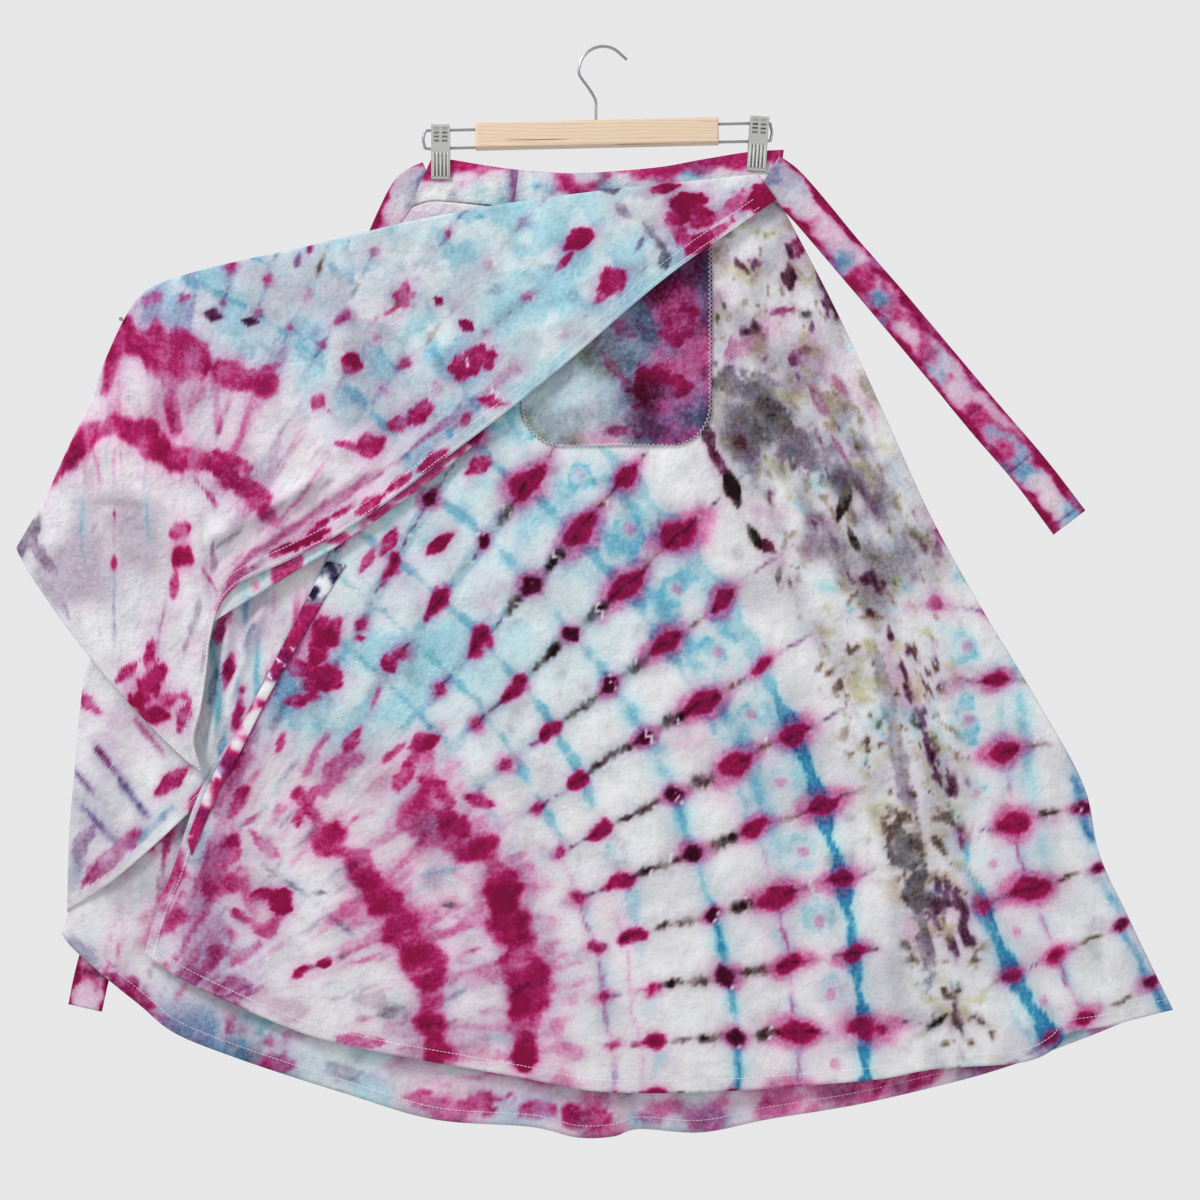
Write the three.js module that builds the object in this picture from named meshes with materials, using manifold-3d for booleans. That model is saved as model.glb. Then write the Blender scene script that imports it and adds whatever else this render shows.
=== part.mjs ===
// A cotton wrap skirt, hung flat from a wooden clip hanger with its wrap turned open.
// Millimetres, +Z up, the viewer of the front on the -Y side. The origin is where the
// hanger's hook rests on a rail. The cloth is a wall of even thickness, and every panel
// is worked out from its edges and from a short table of its creases.

import * as THREE from "three";
import Module from "manifold-3d";
import { mergeVertices } from "three/addons/utils/BufferGeometryUtils.js";

const wasm = await Module();
wasm.setup();

// ---- Driving dimensions ----

const clothWall = 1.0;
const bandWall = 2.2;
const seamGap = 0.3;
const bandFace = seamGap + 0.1; // half the space between the front and back waistbands
const waistSeamDrop = 0.5; // from the band's curved edge to the panels, about seamGap between facets
const waistSeamSteps = 90;

const bar = { length: 219, height: 23, depth: 16, bevel: 2, x: -6.3, z: -77.5, tiltDegrees: 1.3 };
const wire = {
  radius: 1.3,
  rise: 8.1,
  drop: 1.7,
  leftEnd: -163,
  rightEnd: 151.5,
  cornerShare: 0.45, // where the end's bend begins, as a share of the rise
  shoulderShare: 0.6, // how high the bend still is 1 mm before its end
  sides: 8,
  steps: 40,
};
const hook = {
  radius: 1.35,
  loopRadius: 21.6,
  loopX: -0.9,
  loopZ: -20.1,
  fromDegrees: 190,
  toDegrees: 42,
  bends: 9,
  sides: 8,
  steps: 56,
};
// The hook's wire from the bar up to its loop, and its turned-out tip.
const hookStem = [
  { x: -7.2, z: -65.5 },
  { x: -7.2, z: -56 },
  { x: -7.6, z: -47 },
  { x: -13.4, z: -36.6 },
  { x: -18.6, z: -29.6 },
];
const hookTip = { x: 20.7, z: -10.6 };
const clip = {
  width: 17,
  height: 49,
  plate: 1.6,
  jawTip: 14, // the height of the part that grips
  jawBend: 6, // and of the slope above it, inside
  outerBend: 2, // how far above the grip the outside starts to thin
  tipThinning: 0.6,
  springRadius: 3.6,
  springLength: 11,
  springSteps: 8,
};
const springClearance = 0.85; // between the spring and the wires it rides on, with room for the clip's lean
const clipSlot = { width: 5, height: 2, columns: 2, rows: 4, pitch: 3.7, fromTop: 3.6 };
const clips = [
  { name: "clip_left", x: -147, z: -94.5, leanDegrees: 0 },
  { name: "clip_right", x: 138.6, z: -87, leanDegrees: 4.2 },
];
const pin = { radius: 0.8, headRadius: 1.8, headDepth: 1.2, front: -17, back: 3, station: 8.3 };

const pocket = { x: 11, halfWidth: 86, top: -152, bottom: -359, cornerRadius: 36 };

// ---- Colours ----

const colours = {
  pine: 0xe3c194,
  steel: 0xb9bcc0,
  clipMetal: 0xc9ccd0,
  cotton: 0xe6e4ea,
  dyedBand: 0xc04f8c,
  dyedPanel: 0xcfa3c4,
  dyedPocket: 0xa0629a,
};

// ---- Edge tables: a row for each section ----

// The waistband, from its left end to its right end: its top edge and its seam edge.
const waistRows = [
  { topX: -155, topZ: -99, lowX: -175, lowZ: -144 },
  { topX: -137, topZ: -101, lowX: -154, lowZ: -138 },
  { topX: -107, topZ: -106, lowX: -116, lowZ: -141 },
  { topX: -77, topZ: -110, lowX: -82, lowZ: -145 },
  { topX: -31, topZ: -113, lowX: -31, lowZ: -149 },
  { topX: 14, topZ: -111, lowX: 16, lowZ: -147 },
  { topX: 54, topZ: -107, lowX: 58, lowZ: -143 },
  { topX: 87, topZ: -101, lowX: 92, lowZ: -137 },
  { topX: 130, topZ: -94, lowX: 133, lowZ: -131 },
  { topX: 162, topZ: -92, lowX: 157, lowZ: -130 },
];
const bandJoinStation = 3; // the band's two lengths are joined at this row

// The turned-up wrap, from the right clip to its hem: the fold above and the free edge below.
const flapRows = [
  { foldX: 138, foldZ: -115, edgeX: 155, edgeZ: -138 },
  { foldX: 86, foldZ: -121, edgeX: 118, edgeZ: -164 },
  { foldX: 5, foldZ: -130, edgeX: 49, edgeZ: -214 },
  { foldX: -85, foldZ: -142, edgeX: -52, edgeZ: -301 },
  { foldX: -176, foldZ: -159, edgeX: -137, edgeZ: -367 },
  { foldX: -271, foldZ: -182, edgeX: -220, edgeZ: -428 },
  { foldX: -344, foldZ: -198, edgeX: -274, edgeZ: -458 },
  { foldX: -400, foldZ: -215, edgeX: -324, edgeZ: -482 },
  { foldX: -424, foldZ: -236, edgeX: -344, edgeZ: -503 },
  { foldX: -445, foldZ: -278, edgeX: -353, edgeZ: -534 },
  { foldX: -461, foldZ: -320, edgeX: -356, edgeZ: -562 },
  { foldX: -481, foldZ: -363, edgeX: -361, edgeZ: -595 },
  { foldX: -503, foldZ: -410, edgeX: -367, edgeZ: -625 },
  { foldX: -526, foldZ: -450, edgeX: -359, edgeZ: -652 },
];
const flap = {
  hemBulge: 12.6, // how far the side hem bows out, over its last stations
  hemStations: 2.5,
  bulgePower: 0.6,
  returnDepth: 45,
  returnShare: 0.7,
  rollStart: 1.7,
  roll: 2.6,
};
const flapFace = { start: -8.1, free: -13.6, settled: 2.2 }; // depth, and the station where it settles

// The free edge of the under panel, from the waistband down.
const underFreeEdge = [
  { x: -171, z: -305 },
  { x: -251, z: -463 },
  { x: -288, z: -535 },
  { x: -326, z: -606 },
  { x: -354, z: -651 },
  { x: -369, z: -682 },
  { x: -389, z: -742 },
  { x: -404, z: -778 },
  { x: -414, z: -817 },
];
// The right side of the skirt, which the under panel and the back panel share.
const rightSide = [
  { x: 205, z: -228 },
  { x: 248, z: -320 },
  { x: 293, z: -419 },
  { x: 338, z: -501 },
  { x: 388, z: -584 },
  { x: 432, z: -664 },
  { x: 447, z: -728 },
  { x: 479, z: -797 },
  { x: 513, z: -867 },
];
const underHem = [
  { x: -380, z: -839 },
  { x: -328, z: -864 },
  { x: -267, z: -889 },
  { x: -206, z: -904 },
  { x: -82, z: -926 },
  { x: -4, z: -940 },
  { x: 100, z: -940 },
  { x: 238, z: -930 },
  { x: 296, z: -920 },
  { x: 375, z: -914 },
  { x: 406, z: -901 },
  { x: 420, z: -887 },
  { x: 458, z: -880 },
];
// The left side of the skirt, which the over panel and the back panel share.
const leftSide = [
  { x: -274, z: -291 },
  { x: -373, z: -426 },
  { x: -446, z: -520 },
  { x: -466, z: -560 },
  { x: -473, z: -603 },
  { x: -477, z: -650 },
  { x: -482, z: -709 },
  { x: -484, z: -778 },
];
const backLeftCorner = { x: -490, z: -797 };
const backHem = [
  { x: -477, z: -814 },
  { x: -424, z: -861 },
  { x: -387, z: -890 },
  { x: -329, z: -913 },
  { x: -237, z: -943 },
  { x: -156, z: -967 },
  { x: -67, z: -974 },
  { x: -25, z: -984 },
  { x: 8, z: -983 },
  { x: 32, z: -976 },
  { x: 89, z: -979 },
  { x: 151, z: -967 },
  { x: 238, z: -952 },
  { x: 341, z: -927 },
  { x: 434, z: -894 },
];
const backRightCorner = { x: 504, z: -863 };
// The part of the over panel that still hangs straight: its hem and its hidden inner edge.
const sideHem = [
  { x: -459, z: -763 },
  { x: -433, z: -743 },
  { x: -400, z: -714 },
  { x: -364, z: -680 },
];
const sideInnerEdge = [
  { x: -157, z: -305 },
  { x: -233, z: -475 },
  { x: -274, z: -547 },
  { x: -305, z: -601 },
  { x: -319, z: -639 },
];

// The ties: centre line, width and depth of the front face.
const rightTieRows = [
  { x: 148, z: -114, width: 38, y: -3.9 },
  { x: 163, z: -124, width: 36, y: -4.3 },
  { x: 184, z: -146, width: 34, y: -4.6 },
  { x: 215, z: -183, width: 33, y: -5.2 },
  { x: 257, z: -232, width: 34, y: -6.0 },
  { x: 301, z: -284, width: 34, y: -5.0 },
  { x: 343, z: -334, width: 35, y: -3.6 },
  { x: 383, z: -381, width: 35, y: -5.4 },
  { x: 419, z: -428, width: 36, y: -4.0 },
];
const leftTieRows = [
  { x: -157, z: -118, width: 34, y: 2.9 },
  { x: -174, z: -127, width: 34, y: 3.0 },
  { x: -188, z: -150, width: 32, y: 3.2 },
  { x: -203, z: -185, width: 33, y: 4.6 },
  { x: -247, z: -291, width: 34, y: 7.4 },
  { x: -319, z: -462, width: 34, y: 10.6 },
  { x: -386, z: -633, width: 34, y: 12.0 },
  { x: -438, z: -772, width: 33, y: 12.6 },
  { x: -460, z: -822, width: 32, y: 12.8 },
  { x: -471, z: -868, width: 31, y: 13.0 },
];

// ---- Crease tables: a row for each fold. A lift above 0 stands towards the front. ----

const underCreases = [
  { fromX: 198, fromZ: -436, toX: 320, toZ: -852, width: 9, lift: -2.2 },
  { fromX: 214, fromZ: -436, toX: 340, toZ: -852, width: 14, lift: 3.0 },
  { fromX: 60, fromZ: -400, toX: 100, toZ: -930, width: 40, lift: 2.0 },
  { fromX: -60, fromZ: -470, toX: -110, toZ: -900, width: 45, lift: 1.8 },
  { fromX: 150, fromZ: -400, toX: 190, toZ: -900, width: 30, lift: -1.4 },
  { fromX: 300, fromZ: -520, toX: 440, toZ: -880, width: 26, lift: 2.0 },
  { fromX: -210, fromZ: -620, toX: -270, toZ: -870, width: 30, lift: 2.0 },
  { fromX: 378, fromZ: -780, toX: 413, toZ: -890, width: 12, lift: -2.4 },
];
const backCreases = [
  { fromX: -433, fromZ: -743, toX: -412, toZ: -880, width: 18, lift: -3.0 },
  { fromX: -330, fromZ: -500, toX: -360, toZ: -900, width: 34, lift: -3.0 },
  { fromX: -150, fromZ: -420, toX: -190, toZ: -960, width: 42, lift: -3.4 },
  { fromX: -20, fromZ: -380, toX: -20, toZ: -985, width: 36, lift: -3.8 },
  { fromX: 110, fromZ: -420, toX: 130, toZ: -970, width: 38, lift: -3.4 },
  { fromX: 220, fromZ: -460, toX: 300, toZ: -940, width: 40, lift: -3.2 },
  { fromX: 300, fromZ: -560, toX: 410, toZ: -900, width: 26, lift: -2.4 },
];
const flapCreases = [
  { fromX: -255, fromZ: -388, toX: -335, toZ: -465, width: 15, lift: 4.2 },
  { fromX: -346, fromZ: -399, toX: -361, toZ: -451, width: 9, lift: -1.8 },
  { fromX: -361, fromZ: -451, toX: -319, toZ: -462, width: 8, lift: -1.8 },
  { fromX: 90, fromZ: -160, toX: -180, toZ: -330, width: 18, lift: 1.4 },
  { fromX: 60, fromZ: -145, toX: -280, toZ: -270, width: 22, lift: 1.2 },
  { fromX: -424, fromZ: -290, toX: -440, toZ: -560, width: 17, lift: 2.4 },
  { fromX: -385, fromZ: -310, toX: -392, toZ: -600, width: 14, lift: -1.6 },
];
const sideCreases = [
  { fromX: -335, fromZ: -498, toX: -355, toZ: -642, width: 6, lift: 2.4 },
  { fromX: -321, fromZ: -498, toX: -350, toZ: -624, width: 5, lift: -0.8 },
  { fromX: -303, fromZ: -498, toX: -338, toZ: -588, width: 7, lift: 2.2 },
  { fromX: -440, fromZ: -560, toX: -450, toZ: -740, width: 22, lift: 1.8 },
  { fromX: -395, fromZ: -560, toX: -400, toZ: -700, width: 16, lift: 1.6 },
];

// ---- Small helpers ----

function smooth(value, low, high) {
  return THREE.MathUtils.smoothstep(value, low, high);
}

function mix(a, b, share) {
  return a + (b - a) * share;
}

// A value of one column, read from a table that is sorted by another column.
function lookUp(rows, keyColumn, valueColumn, key) {
  const falling = rows[0][keyColumn] > rows[rows.length - 1][keyColumn];
  const sorted = falling ? [...rows].reverse() : rows;
  for (let i = 1; i < sorted.length; i += 1) {
    const low = sorted[i - 1];
    const high = sorted[i];
    if (key <= high[keyColumn] || i === sorted.length - 1) {
      const share = (key - low[keyColumn]) / (high[keyColumn] - low[keyColumn]);
      return mix(low[valueColumn], high[valueColumn], THREE.MathUtils.clamp(share, 0, 1));
    }
  }
  return sorted[0][valueColumn];
}

// As shares of its length: how far a crease runs on past its ends as it fades, and where it is full.
const creaseFade = { overrun: 0.15, full: 0.25 };

function creaseLift(creases, x, z) {
  let lift = 0;
  for (const crease of creases) {
    const runX = crease.toX - crease.fromX;
    const runZ = crease.toZ - crease.fromZ;
    const length = Math.hypot(runX, runZ);
    const along = ((x - crease.fromX) * runX + (z - crease.fromZ) * runZ) / (length * length);
    const across = ((x - crease.fromX) * runZ - (z - crease.fromZ) * runX) / length;
    const fadeIn = smooth(along, -creaseFade.overrun, creaseFade.full);
    const fadeOut = 1 - smooth(along, 1 - creaseFade.overrun, 1 + creaseFade.overrun);
    lift += crease.lift * fadeIn * fadeOut * Math.exp(-((across / crease.width) ** 2));
  }
  return lift;
}

function edgeCurve(points) {
  return new THREE.SplineCurve(points.map((point) => new THREE.Vector2(point.x, point.z)));
}

// ---- Depth of each panel's front face ----

// The waistband's seam edge, as closely spaced points of its smooth curve.
const waistSeam = edgeCurve(waistRows.map((row) => ({ x: row.lowX, z: row.lowZ })))
  .getPoints(waistSeamSteps)
  .map((point) => ({ x: point.x, z: point.y }));
const waistPoint = (x) => ({ x, z: lookUp(waistSeam, "x", "z", x) - waistSeamDrop });
const underTopLeft = waistPoint(-94);
const sideTopRight = waistPoint(-80);
const topLeft = waistPoint(-172);
const topRight = waistPoint(154);

const rightSideRows = [topRight, ...rightSide];
const leftSideRows = [topLeft, ...leftSide, backLeftCorner];
const freeEdgeRows = [underTopLeft, ...underFreeEdge];

// Each panel's depth below the waist and where it hangs free, between the heights hangFrom and hangTo,
// its depth along its side seam and free edge, and how far these reach inwards.
const underDepths = {
  top: -2.6,
  middle: -4.6,
  hangFrom: 140,
  hangTo: 380,
  side: -1.15,
  freeEdge: -2.9,
  sideReach: 70,
  edgeReach: 40,
};
const backDepths = { top: 0.9, low: 4.6, hangFrom: 140, hangTo: 420, side: 0.15, sideReach: 80 };
const sideDepths = { cloth: -1.3, side: -1.15, sideReach: 40, edgeReach: 26 };

// 0 at an edge and 1 from the given distance inwards.
function inset(distance, reach) {
  return smooth(distance, 0, reach);
}

function underFace(x, z) {
  const fromSide = inset(lookUp(rightSideRows, "z", "x", z) - x, underDepths.sideReach);
  const fromEdge = inset(x - lookUp(freeEdgeRows, "z", "x", z), underDepths.edgeReach);
  const hangs = smooth(-z, underDepths.hangFrom, underDepths.hangTo);
  const hang = mix(underDepths.top, underDepths.middle, hangs);
  const lifted = hang - creaseLift(underCreases, x, z);
  return mix(underDepths.side, mix(underDepths.freeEdge, lifted, fromEdge), fromSide);
}

function backFace(x, z) {
  const fromRight = inset(lookUp(rightSideRows, "z", "x", z) - x, backDepths.sideReach);
  const fromLeft = inset(x - lookUp(leftSideRows, "z", "x", z), backDepths.sideReach);
  const hangs = smooth(-z, backDepths.hangFrom, backDepths.hangTo);
  const hang = mix(backDepths.top, backDepths.low, hangs);
  const lifted = hang - creaseLift(backCreases, x, z);
  return mix(backDepths.side, lifted, Math.min(fromRight, fromLeft));
}

function sideFace(x, z) {
  const fromLeft = inset(x - lookUp(leftSideRows, "z", "x", z), sideDepths.sideReach);
  const fromEdge = inset(lookUp(freeEdgeRows, "z", "x", z) - x, sideDepths.edgeReach);
  const lift = creaseLift(sideCreases, x, z) * Math.min(fromLeft, fromEdge);
  return mix(sideDepths.side, sideDepths.cloth - lift, fromLeft);
}

function flapDepth(x, z, station) {
  const hang = mix(flapFace.start, flapFace.free, smooth(station, 0, flapFace.settled));
  return hang - creaseLift(flapCreases, x, z) * smooth(station, 0, flapFace.settled);
}

// ---- Solids ----

// A closed wall between two grids of points of the same size, its faces pointing out.
function wallBetween(front, back) {
  const across = front.length - 1;
  const down = front[0].length - 1;
  const stride = down + 1;
  const backStart = (across + 1) * stride;
  const positions = [...front.flat(2), ...back.flat(2)];
  const faces = [];
  const quad = (a, b, c, d) => faces.push(a, b, c, a, c, d);
  const at = (i, j) => i * stride + j;
  for (let i = 0; i < across; i += 1) {
    for (let j = 0; j < down; j += 1) {
      quad(at(i, j), at(i + 1, j), at(i + 1, j + 1), at(i, j + 1));
      quad(
        backStart + at(i, j),
        backStart + at(i, j + 1),
        backStart + at(i + 1, j + 1),
        backStart + at(i + 1, j),
      );
    }
  }
  const rim = [];
  for (let i = 0; i < across; i += 1) rim.push(at(i, 0));
  for (let j = 0; j < down; j += 1) rim.push(at(across, j));
  for (let i = across; i > 0; i -= 1) rim.push(at(i, down));
  for (let j = down; j > 0; j -= 1) rim.push(at(0, j));
  rim.forEach((here, k) => {
    const next = rim[(k + 1) % rim.length];
    quad(here, backStart + here, backStart + next, next);
  });
  const geometry = new THREE.BufferGeometry();
  geometry.setAttribute("position", new THREE.Float32BufferAttribute(positions, 3));
  geometry.setIndex(signedVolume(positions, faces) < 0 ? faces.reverse() : faces);
  geometry.computeVertexNormals();
  return geometry;
}

function signedVolume(positions, faces) {
  const corner = (k) => new THREE.Vector3().fromArray(positions, 3 * faces[k]);
  let volume = 0;
  for (let k = 0; k < faces.length; k += 3) {
    volume += corner(k).dot(corner(k + 1).cross(corner(k + 2))) / 6;
  }
  return volume;
}

// A panel inside four edges, each a curve of (x, z); its depth is worked out at each point.
function panelWall({ left, right, top, low, face, across, down }) {
  const front = [];
  const back = [];
  for (let i = 0; i <= across; i += 1) {
    const u = i / across;
    const frontColumn = [];
    const backColumn = [];
    for (let j = 0; j <= down; j += 1) {
      const v = j / down;
      const [x, z] = patchPoint({ left, right, top, low }, u, v);
      const y = face(x, z);
      frontColumn.push([x, y, z]);
      backColumn.push([x, y + clothWall, z]);
    }
    front.push(frontColumn);
    back.push(backColumn);
  }
  return wallBetween(front, back);
}

// Coons patch: the four edges are kept exactly, and the inside is blended between them.
function patchPoint({ left, right, top, low }, u, v) {
  const [leftPoint, rightPoint] = [left.getPointAt(v), right.getPointAt(v)];
  const [topPoint, lowPoint] = [top.getPointAt(u), low.getPointAt(u)];
  const [topLeftEnd, topRightEnd] = [top.getPointAt(0), top.getPointAt(1)];
  const [lowLeftEnd, lowRightEnd] = [low.getPointAt(0), low.getPointAt(1)];
  const blend = (axis) =>
    mix(leftPoint[axis], rightPoint[axis], u) +
    mix(topPoint[axis], lowPoint[axis], v) -
    mix(mix(topLeftEnd[axis], topRightEnd[axis], u), mix(lowLeftEnd[axis], lowRightEnd[axis], u), v);
  return [blend("x"), blend("y")];
}

// The top edge of a panel, just under the waistband.
function waistEdge(fromX, toX) {
  const pieces = 8;
  const points = [];
  for (let k = 0; k <= pieces; k += 1) points.push(waistPoint(mix(fromX, toX, k / pieces)));
  return edgeCurve(points);
}

function underPanel() {
  const hemStart = underFreeEdge.at(-1);
  const hemEnd = rightSide.at(-1);
  return panelWall({
    left: edgeCurve(freeEdgeRows),
    right: edgeCurve(rightSideRows),
    top: waistEdge(underTopLeft.x, topRight.x),
    low: edgeCurve([hemStart, ...underHem, hemEnd]),
    face: underFace,
    across: 24,
    down: 20,
  });
}

function backPanel() {
  return panelWall({
    left: edgeCurve(leftSideRows),
    right: edgeCurve([topRight, ...rightSide.slice(0, -1), backRightCorner]),
    top: waistEdge(topLeft.x, topRight.x),
    low: edgeCurve([backLeftCorner, ...backHem, backRightCorner]),
    face: backFace,
    across: 26,
    down: 14,
  });
}

function overPanelSide() {
  return panelWall({
    left: edgeCurve([topLeft, ...leftSide]),
    right: edgeCurve([sideTopRight, ...sideInnerEdge]),
    top: waistEdge(topLeft.x, sideTopRight.x),
    low: edgeCurve([leftSide.at(-1), ...sideHem, sideInnerEdge.at(-1)]),
    face: sideFace,
    across: 12,
    down: 16,
  });
}

// The bag lies on the under panel: its points are the panel's, moved out.
function pocketBag() {
  const across = 10;
  const down = 12;
  const front = [];
  const back = [];
  for (let i = 0; i <= across; i += 1) {
    const frontColumn = [];
    const backColumn = [];
    for (let j = 0; j <= down; j += 1) {
      const z = mix(pocket.top, pocket.bottom, Math.sin((j / down) * (Math.PI / 2)));
      const intoCorner = Math.max(0, pocket.bottom + pocket.cornerRadius - z);
      const round = Math.sqrt(Math.max(0, pocket.cornerRadius ** 2 - intoCorner ** 2));
      const halfWidth = pocket.halfWidth - pocket.cornerRadius + round;
      const x = pocket.x + mix(-halfWidth, halfWidth, i / across);
      const y = underFace(x, z) - seamGap;
      frontColumn.push([x, y - clothWall, z]);
      backColumn.push([x, y, z]);
    }
    front.push(frontColumn);
    back.push(backColumn);
  }
  return wallBetween(front, back);
}

// The turned-up wrap: from its free edge up to the fold, round it, and a short way back down.
function overPanelFlap() {
  const across = 36;
  const frontSteps = 12;
  const rollSteps = 4;
  const returnSteps = 2;
  const stations = flapRows.length - 1;
  const fold = edgeCurve(flapRows.map((row) => ({ x: row.foldX, z: row.foldZ })));
  const edge = edgeCurve(flapRows.map((row) => ({ x: row.edgeX, z: row.edgeZ })));
  const outer = [];
  const inner = [];
  for (let i = 0; i <= across; i += 1) {
    const station = (i / across) * stations;
    const foldPoint = fold.getPoint(i / across);
    const edgePoint = edge.getPoint(i / across);
    const length = foldPoint.distanceTo(edgePoint);
    const run = edgePoint.clone().sub(foldPoint).divideScalar(length);
    const hemShare = smooth(station, stations - flap.hemStations, stations);
    const roll = mix(flap.rollStart, flap.roll, smooth(station, 0, flapFace.settled));
    const returned = Math.min(flap.returnDepth, flap.returnShare * length);
    const section = [];
    // share is 0 at the fold and 1 at the free edge
    const place = (inwards) => {
      const share = inwards / length;
      const bulge = flap.hemBulge * hemShare * Math.sin(Math.PI * share) ** flap.bulgePower;
      const x = foldPoint.x + run.x * inwards - Math.abs(run.y) * bulge;
      const z = foldPoint.y + run.y * inwards - Math.abs(run.x) * bulge;
      return [x, z];
    };
    const foldDepth = flapDepth(...place(roll), station);
    for (let j = 0; j <= frontSteps; j += 1) {
      const inwards = mix(length, roll, j / frontSteps);
      const [x, z] = place(inwards);
      section.push({ x, z, y: flapDepth(x, z, station), outX: 0, outY: -1, outZ: 0 });
    }
    for (let j = 1; j <= rollSteps; j += 1) {
      const angle = (j / rollSteps) * Math.PI;
      const [x, z] = place(roll - roll * Math.sin(angle));
      const y = foldDepth + roll - roll * Math.cos(angle);
      const out = -Math.sin(angle);
      section.push({ x, z, y, outX: out * run.x, outY: -Math.cos(angle), outZ: out * run.y });
    }
    for (let j = 1; j <= returnSteps; j += 1) {
      const [x, z] = place(mix(roll, returned, j / returnSteps));
      section.push({ x, z, y: foldDepth + 2 * roll, outX: 0, outY: 1, outZ: 0 });
    }
    const moved = (point, by) => [
      point.x + point.outX * by,
      point.y + point.outY * by,
      point.z + point.outZ * by,
    ];
    outer.push(section.map((point) => moved(point, clothWall / 2)));
    inner.push(section.map((point) => moved(point, -clothWall / 2)));
  }
  return wallBetween(outer, inner);
}

// One length of the waistband, between two rows of its table.
function waistbandLength(fromStation, toStation, frontY, steps) {
  const last = waistRows.length - 1;
  const topCurve = edgeCurve(waistRows.map((row) => ({ x: row.topX, z: row.topZ })));
  const lowCurve = edgeCurve(waistRows.map((row) => ({ x: row.lowX, z: row.lowZ })));
  const front = [];
  const back = [];
  for (let i = 0; i <= steps; i += 1) {
    const share = mix(fromStation, toStation, i / steps) / last;
    const column = [topCurve.getPoint(share), lowCurve.getPoint(share)];
    front.push(column.map((point) => [point.x, frontY, point.y]));
    back.push(column.map((point) => [point.x, frontY + bandWall, point.y]));
  }
  return wallBetween(front, back);
}

// A flat tie along its centre line.
function tieBand(rows, steps) {
  const centre = new THREE.CatmullRomCurve3(rows.map((row) => new THREE.Vector3(row.x, row.y, row.z)));
  const across = 3;
  const front = [];
  const back = [];
  for (let i = 0; i <= steps; i += 1) {
    const share = i / steps;
    const point = centre.getPoint(share);
    const run = centre.getTangent(share);
    const length = Math.hypot(run.x, run.z);
    const place = share * (rows.length - 1);
    const row = Math.min(Math.floor(place), rows.length - 2);
    const width = mix(rows[row].width, rows[row + 1].width, place - row);
    const frontColumn = [];
    const backColumn = [];
    for (let j = 0; j <= across; j += 1) {
      const offset = mix(width / 2, -width / 2, j / across);
      const x = point.x - (run.z / length) * offset;
      const z = point.z + (run.x / length) * offset;
      frontColumn.push([x, point.y, z]);
      backColumn.push([x, point.y + clothWall, z]);
    }
    front.push(frontColumn);
    back.push(backColumn);
  }
  return wallBetween(front, back);
}

// A round wire along points of (x, z) in the hanger's plane.
function wireAlong(points, radius, sides, steps) {
  const corners = points.map(([x, z]) => new THREE.Vector3(x, 0, z));
  const path = new THREE.CatmullRomCurve3(corners, false, "centripetal");
  const section = new THREE.Shape();
  for (let k = 0; k < sides; k += 1) {
    const angle = (2 * Math.PI * k) / sides;
    const [x, y] = [radius * Math.cos(angle), radius * Math.sin(angle)];
    if (k === 0) section.moveTo(x, y);
    else section.lineTo(x, y);
  }
  return new THREE.ExtrudeGeometry(section, { steps, extrudePath: path });
}

// The hook: a stem, a bend into the loop, the loop, and a tip that turns out.
function hookWire() {
  const points = hookStem.map((point) => [point.x, point.z]);
  for (let k = 0; k <= hook.bends; k += 1) {
    const angle = THREE.MathUtils.degToRad(mix(hook.fromDegrees, hook.toDegrees, k / hook.bends));
    points.push([
      hook.loopX + hook.loopRadius * Math.cos(angle),
      hook.loopZ + hook.loopRadius * Math.sin(angle),
    ]);
  }
  points.push([hookTip.x, hookTip.z]);
  return wireAlong(points, hook.radius, hook.sides, hook.steps);
}

// A wire loop that leaves one end of the bar, in the bar's own tilted frame.
function sideWire(endX) {
  const side = Math.sign(endX);
  const inner = side * (bar.length / 2 + seamGap);
  const outer = endX - bar.x;
  const corner = outer - side * wire.rise * wire.cornerShare;
  const shoulder = wire.rise * wire.shoulderShare;
  const points = [
    [inner, wire.rise - wire.drop],
    [mix(inner, corner, 0.5), wire.rise - wire.drop],
    [corner, wire.rise - wire.drop],
    [outer - side, shoulder - wire.drop],
    [outer, -wire.drop],
    [outer - side, -shoulder - wire.drop],
    [corner, -wire.rise - wire.drop],
    [mix(inner, corner, 0.5), -wire.rise - wire.drop],
    [inner, -wire.rise - wire.drop],
  ];
  return wireAlong(points, wire.radius, wire.sides, wire.steps);
}

function barBlock() {
  const [halfLength, halfHeight] = [bar.length / 2 - bar.bevel, bar.height / 2 - bar.bevel];
  const outline = new THREE.Shape();
  outline.moveTo(-halfLength, -halfHeight);
  outline.lineTo(halfLength, -halfHeight);
  outline.lineTo(halfLength, halfHeight);
  outline.lineTo(-halfLength, halfHeight);
  const geometry = new THREE.ExtrudeGeometry(outline, {
    depth: bar.depth - 2 * bar.bevel,
    bevelThickness: bar.bevel,
    bevelSize: bar.bevel,
    bevelSegments: 3,
  });
  geometry.translate(0, 0, -(bar.depth / 2 - bar.bevel));
  geometry.rotateX(Math.PI / 2);
  return geometry;
}

// Turns an outline of (y, z) into a solid of the given width along X, centred on X = 0.
function alongX(outline, width) {
  const shape = new THREE.Shape(outline.map(([y, z]) => new THREE.Vector2(y, z)));
  const geometry = new THREE.ExtrudeGeometry(shape, { depth: width, bevelEnabled: false });
  geometry.translate(0, 0, -width / 2);
  const turn = new THREE.Matrix4().makeBasis(
    new THREE.Vector3(0, 1, 0),
    new THREE.Vector3(0, 0, 1),
    new THREE.Vector3(1, 0, 0),
  );
  return geometry.applyMatrix4(turn);
}

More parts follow.
